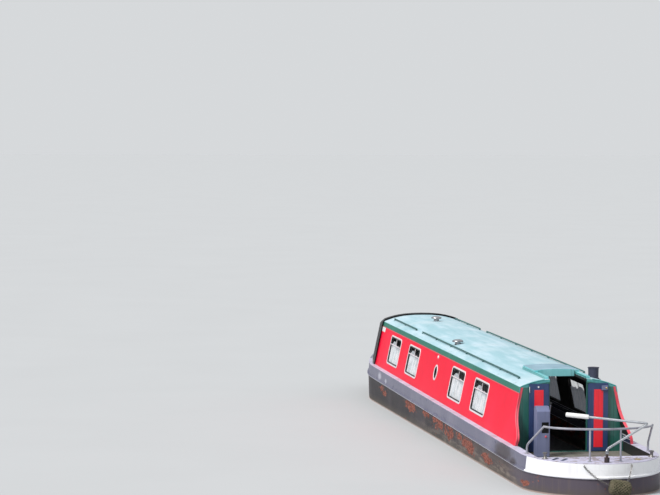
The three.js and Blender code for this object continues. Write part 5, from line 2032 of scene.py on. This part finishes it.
@dataclass
class RoofGear(Assembly):
    """Hatch, runners, handrails, chimney and vents."""

    rail_y: float = 0.59
    rail_z: float = 2.003
    rails: tuple[tuple[str, int, float, float, int], ...] = (
        ("handrail_port_aft", 1, 0.64, 8.24, 7), ("handrail_port_fore", 1, 8.76, 11.0, 3),
        ("handrail_starboard_aft", -1, 1.3, 8.24, 7), ("handrail_starboard_fore", -1, 8.76, 11.0, 3),
    )
    chimney_at: Pair = (0.5, -0.515)
    vents: tuple[Pair, ...] = ((5.79, 0.46), (9.9, 0.0))
    rail_radius: float = 0.0135
    rail_tip: float = 0.009
    rail_steps: int = 40
    post_inset: float = 0.045

    def build(self) -> None:
        """Builds the gear on the roof."""
        for _, name in SIDES:
            self.yard.refine(f"hatch_runner_{name}", [PALE_TEAL, TEAL], "trim_green",
                             self.runner_part, bevel=0.004)
        self.yard.refine("sliding_hatch", [HATCH, PALE_TEAL], "roof_paint",
                         lambda middle, normal: 0 if normal.z > 0.5 else 1, bevel=0.006)
        for rail in self.rails:
            self.handrail(*rail)
        self.chimney()
        for number, (x, y) in enumerate(self.vents, 1):
            self.vent(number, x, y)

    def runner_part(self, middle: Vector, normal: Vector) -> int:
        """Number of the finish of a face of a hatch runner: pale teal on top and at its aft end as a
        painted highlight, darker teal on its sides.
        """
        # Painted highlight: the top and the aft end get the paler teal.
        return 0 if normal.z > 0.5 or normal.x < -0.5 else 1

    def handrail(self, name: str, side: int, x0: float, x1: float, posts: int) -> None:
        """Builds one handrail: a bar on posts with small feet.

        Args:
            name: The CAD node.
            side: 1 for port, -1 for starboard.
            x0: Station of its aft end.
            x1: Station of its fore end.
            posts: Number of posts.
        """
        y = side * self.rail_y
        foot = roof_z(y) + 0.0012
        steps, inset = self.rail_steps, self.post_inset
        path = [at(x0 + (x1 - x0) * k / steps, y, self.rail_z) for k in range(steps + 1)]
        radius = [self.rail_tip, *[self.rail_radius] * (steps - 1), self.rail_tip]
        shape = Shape().tube(path, radius)
        post = [(0.024, 0.0), (0.024, 0.004), (0.013, 0.010), (0.0095, 0.018),
                (0.0095, self.rail_z - foot)]
        for k in range(posts):
            x = x0 + inset + (x1 - x0 - 2 * inset) * k / (posts - 1)
            shape.lathe(post, placed(x, y, foot), 16)
        self.yard.fit(f"{name}_made", shape, [HANDRAIL], "trim_green", name)

    def chimney(self) -> None:
        """Builds the chimney on its collar."""
        x, y = self.chimney_at
        foot = ROOF_EDGE - 0.03
        low = roof_z(y - 0.1) - foot - 0.006
        profile = [(0.112, low), (0.112, 0.076), (0.108, 0.082), (0.09, 0.09), (0.086, 0.104),
                   (0.0775, 0.108), (0.0785, 0.18), (0.080, 0.248), (0.087, 0.251), (0.089, 0.256),
                   (0.087, 0.262), (0.073, 0.262), (0.070, 0.25), (0.068, 0.15), (0.02, 0.15)]
        shape = Shape().lathe(profile, placed(x, y, foot), 40)
        self.yard.fit("chimney_made", shape, [FLUE], "door_navy", "chimney")

    def vent(self, number: int, x: float, y: float) -> None:
        """Builds one mushroom vent.

        Args:
            number: Number of the vent.
            x: Its station.
            y: Its distance from the centreline.
        """
        profile = [(0.056, 0.001), (0.056, 0.005), (0.049, 0.008), (0.048, 0.046), (0.07, 0.048),
                   (0.09, 0.049), (0.096, 0.055), (0.096, 0.062), (0.088, 0.074), (0.07, 0.084),
                   (0.04, 0.091), (0.006, 0.094)]
        shape = Shape().lathe(profile, placed(x, y, roof_z(abs(y) + 0.04)), 36)
        node = f"roof_vent_{number}"
        self.yard.fit(f"{node}_made", shape, [VENT], "steel", node)


@dataclass
class SternGear(Assembly):
    """Guard rail and control pedestal."""

    rail_z: float = 1.56
    reach: float = 0.8
    aft: float = -2.13
    turn: float = -1.68
    foot_at: Pair = (-1.15, 0.9)
    rise: float = 0.12
    posts: tuple[float, ...] = (0.41, 0.59)
    rail_radius: float = 0.016
    post_radius: float = 0.014
    recess: tuple[Point, Point] = ((-0.514, 0.415, 1.295), (-0.4, 0.53, 1.465))
    lever_at: Point = (-0.42, 0.405, 1.57)
    lever: tuple[Point, ...] = ((-0.42, 0.395, 1.57), (-0.425, 0.385, 1.60), (-0.44, 0.38, 1.67),
                                (-0.45, 0.38, 1.72))
    knob_at: Point = (-0.453, 0.38, 1.712)
    switch_at: Point = (-0.515, 0.466, 1.25)

    def on_arc(self, share: float) -> Vector:
        """A point of the rail's arc, from port at 0 to starboard at 1."""
        angle = math.pi * share
        return at(self.turn + (self.aft - self.turn) * math.sin(angle),
                  self.reach * math.cos(angle), self.rail_z)

    def guard_rail(self) -> None:
        """Bends the rail, sets its two posts and gives each foot a flange."""
        foot = GUNWALE + 0.0005
        x, y = self.foot_at
        arc = [self.on_arc(k / 28) for k in range(29)]
        port, starboard = ([at(x, out, foot), at(x, out, foot + self.rise)] for out in (y, -y))
        path = bent([*port, arc[0]], 0.07)[:-1] + arc[1:-1]
        path += bent([arc[-1], *starboard[::-1]], 0.07)[1:]
        shape = Shape().tube(path, self.rail_radius, 18)
        feet = [port[0], starboard[0]]
        for share in self.posts:
            top = self.on_arc(share)
            feet.append(Vector((top.x, top.y, foot)))
            shape.tube([feet[-1], top], self.post_radius, 16)
        flange = [(0.034, 0.0), (0.034, 0.005), (0.031, 0.007), (0.019, 0.009), (0.017, 0.014)]
        for place in feet:
            shape.lathe(flange, Matrix.Translation(place), 24)
        self.yard.fit("guard_rail_bent", shape, [RAIL], "rail_white", "guard_rail")

    def pedestal_part(self, middle: Vector, normal: Vector) -> int:
        """Number of the finish of a face of the pedestal: 0 for paint, 1 for the recess, which is painted
        black as painted shade.
        """
        low, high = (at(*corner) for corner in self.recess)
        return int(all(a < b < c for a, b, c in zip(low, middle, high)))

    def pedestal(self) -> None:
        """Dresses the pedestal and adds its lever and switch."""
        # Painted shade: the recess's faces get the black finish.
        self.yard.refine("control_pedestal", [POD, DARK], "band_grey", self.pedestal_part, bevel=0.004)
        boss = placed(*self.lever_at, math.pi / 2, "X")
        shape = Shape().lathe([(0.042, 0.0003), (0.042, 0.008), (0.034, 0.012), (0.01, 0.013)], boss, 28)
        shape.use(1).tube(flowing([at(*point) for point in self.lever], 14), 0.006, 10)
        shape.use(0).lathe([(0.006, 0.0), (0.017, 0.008), (0.02, 0.02), (0.016, 0.032),
                            (0.004, 0.038)], placed(*self.knob_at), 20)
        shape.use(2).lathe([(0.016, -0.0005), (0.016, 0.005), (0.01, 0.008), (0.002, 0.009)],
                           facing_aft(*self.switch_at), 24)
        self.yard.fit("pedestal_controls", shape, [DARK, STEEL, PINK], "band_grey")

    def build(self) -> None:
        """Builds the rail and the pedestal."""
        self.guard_rail()
        self.pedestal()


@dataclass
class Steering(Assembly):
    """Rudder, tiller and grip, which turn together."""

    stock: float = -2.2
    swing: float = 65.0
    bend: float = 1.29
    apex: Pair = (-0.58, 1.673)
    end: Pair = (0.591, 1.755)
    grip: float = 0.33
    stock_top: float = 1.22

    def swung(self, x: float, z: float) -> Vector:
        """A point of the tiller, from its distance forward of the stock and its height."""
        angle = math.radians(self.swing)
        return at(self.stock + x * math.cos(angle), x * math.sin(angle), z)

    def build(self) -> None:
        """Bends the tiller, turns the grip and dresses the rudder."""
        start = self.end[0] - self.grip
        share = (start - self.apex[0]) / (self.end[0] - self.apex[0])
        level = self.apex[1] + (self.end[1] - self.apex[1]) * share
        corners = [(0, self.stock_top + 0.0003), (0, self.bend), self.apex, (start, level)]
        path = bent([self.swung(x, z) for x, z in corners], 0.045, 8)
        shape = Shape().tube(path, 0.017, 20)
        shape.lathe([(0.024, 0.0), (0.024, 0.05), (0.020, 0.056), (0.017, 0.06)],
                    Matrix.Translation(self.swung(0, self.stock_top + 0.0004)), 24)
        self.yard.fit("tiller_bent", shape, [STEEL], "tiller_steel", "tiller")
        a, b = self.swung(start, level), self.swung(*self.end)
        along, long = (b - a).normalized(), (b - a).length
        profile = [(0.022, 0.0), (0.029, 0.004), (0.0325, 0.02), (0.0328, long * 0.5),
                   (0.0318, long - 0.012), (0.029, long - 0.004), (0.024, long - 0.001)]
        grip = Shape().lathe(profile, along_axis(a + along * 0.0003, along), 28)
        self.yard.fit("tiller_grip_turned", grip, [GRIP], "grip_white", "tiller_grip")
        self.yard.refine("rudder", [IRONWORK], "hull_black", bevel=0.002)


@dataclass
class RopeFender(Assembly):
    """A fender woven of rope round a barrel."""

    node: str
    centre: Vector
    axis: Vector
    radius: float
    long: float
    strands: int = 15
    wrap: float = 2.6
    steps: int = 30
    whipping: float = 0.012

    def barrel(self, share: float, out: float = 0.0) -> float:
        """Radius of the barrel at a share of its length."""
        s = abs(2 * share - 1)
        return self.radius * (1 - 0.36 * s ** 7) + out

    def strand(self, k: int, way: int, thick: float) -> list[Point]:
        """Points of one strand, over and under the strands that cross it.

        Args:
            k: Number of the strand.
            way: 1 for a strand that winds anticlockwise, -1 for one that winds back.
            thick: Radius of the strand.

        Returns:
            The points, on a fender that stands on its foot.
        """
        phase = 2 * math.pi * (k + (0.5 if way < 0 else 0)) / self.strands
        path = []
        for i in range(self.steps + 1):
            share = i / self.steps
            angle = phase + way * self.wrap * share
            over = math.sin(self.strands * self.wrap * share + k * math.pi) * way * thick * 0.35
            loose = thick * 0.3 * noise.noise((k * 3.1, share * 8, way * 5.0))
            r = self.barrel(share, -thick * 0.95 + over + loose)
            path.append((r * math.cos(angle), r * math.sin(angle), self.long * share))
        return path

    def build(self) -> None:
        """Weaves the strands over a core and closes the ends with a whipping."""
        along = self.axis.normalized()
        matrix = along_axis(self.centre - along * self.long / 2, along)
        inset, thick = self.radius * 0.14, self.radius * 0.1
        core = [(self.barrel(k / 14, -inset), 0.004 + (self.long - 0.008) * k / 14) for k in range(15)]
        ends = (core[0][0] * 0.4, 0.001), (core[-1][0] * 0.4, self.long - 0.001)
        shape = Shape().lathe([ends[0], *core, ends[1]], matrix, 28)
        for way in (1, -1):
            for k in range(self.strands):
                shape.tube([matrix @ Vector(p) for p in self.strand(k, way, thick)], thick, 6)
        for end in (self.whipping, self.long - self.whipping):
            hoop = lifted(circle(self.barrel(end / self.long) * 0.86, 24), end, matrix)
            shape.tube(hoop, thick * 0.9, 8, circuit=True)
        self.yard.fit(f"{self.node}_woven", shape, [ROPE], "rope", self.node, sharp=70)


@dataclass
class Fenders(Assembly):
    """The stern fender with its chains, and the bow fender."""

    at_stern: Point = (-2.492, -0.115, 0.78)
    tilt: float = 9.0
    long: float = 0.285
    stern_radius: float = 0.112
    bow_radius: float = 0.1
    bow_strands: int = 13
    from_bow: float = 0.084
    chains: tuple[tuple[str, float, float, float], ...] = (
        ("fender_chain_port", 0.35, 0.01, 0.79), ("fender_chain_starboard", -0.33, -0.235, 0.85),
    )
    counter: Pair = (-1.2, 1.15)
    link_size: float = 0.020
    link_pitch: float = 0.026
    eye_radius: float = 0.017

    def build(self) -> None:
        """Builds both fenders and the two chains."""
        angle = math.pi / 2 + math.radians(self.tilt)
        axis = Vector((0, -math.sin(angle), math.cos(angle)))
        RopeFender(self.yard, "stern_fender", at(*self.at_stern), axis, self.stern_radius,
                   self.long).build()
        low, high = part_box("bow_fender")
        middle = Vector((row(BOW_TIP) + self.from_bow, 0, (low.z + high.z) / 2))
        RopeFender(self.yard, "bow_fender", middle, Vector((0, 0, 1)), self.bow_radius,
                   high.z - low.z - 0.01, self.bow_strands).build()
        for chain in self.chains:
            self.chain(*chain)

    def chain(self, name: str, eye_y: float, end_y: float, end_z: float) -> None:
        """Hangs one chain from its eye on the counter to the fender.

        Args:
            name: The CAD node.
            eye_y: Distance of the eye from the centreline.
            end_y: The same for the chain's lower end.
            end_z: Height of the chain's lower end.
        """
        start, reach = self.counter
        eye = at(start - reach * math.sqrt(1 - eye_y ** 2) - 0.024, eye_y, GUNWALE - 0.05)
        foot = at(self.at_stern[0] + 0.035, end_y, end_z + 0.02)
        steps = 24
        line = []
        for k in range(steps + 1):
            line.append(eye.lerp(foot, k / steps))
            line[-1].z -= 0.03 * math.sin(math.pi * k / steps)
        long = sum((b - a).length for a, b in zip(line, line[1:]))
        count = max(6, round(long / self.link_pitch))
        mesh = PartRow(PartKind.LINK).along(name, [(line, Vector((1, 0, 0)))], False,
                                            self.link_size, count, CHAIN)
        self.yard.fit(f"{name}_linked", mesh, [CHAIN], "steel", name, sharp=60)
        out = Vector((-1, math.copysign(0.35, eye_y), 0)).normalized()
        up = Vector((0, 0, 1))
        centre = eye + out * 0.004 + up * 0.015
        loop = [centre + self.eye_radius * (out * math.cos(a) + up * math.sin(a)) for a in turns(20)]
        shape = Shape().tube(loop, 0.0045, 8, circuit=True)
        self.yard.fit(f"{name}_eye", shape, [CHAIN], "steel")


@dataclass
class Propulsion(Assembly):
    """Propeller, stern tube and engine."""

    def build(self) -> None:
        """Dresses the three nodes."""
        self.yard.refine("propeller", [BRONZE], "bronze", sharp=50)
        self.yard.refine("stern_tube", [IRONWORK], "hull_black")
        self.yard.refine("engine_block", [ENAMEL], "engine", bevel=0.02)


def main() -> None:
    """Builds the boat's sub-assemblies in order, and the studio round them."""
    logging.basicConfig(level=logging.INFO, format="%(message)s")
    yard = Yard()
    studio = Studio()
    studio.camera()
    for assembly in (Hull, Cabin, WindowSet, RearDoors, Cratch, RoofGear, SternGear, Steering,
                     Fenders, Propulsion):
        assembly(yard).build()
        LOG.info("%s done", assembly.__name__)
    studio.lights()
    studio.floor()
    LOG.info("%d pieces", yard.count)


if __name__ == "__main__":
    main()
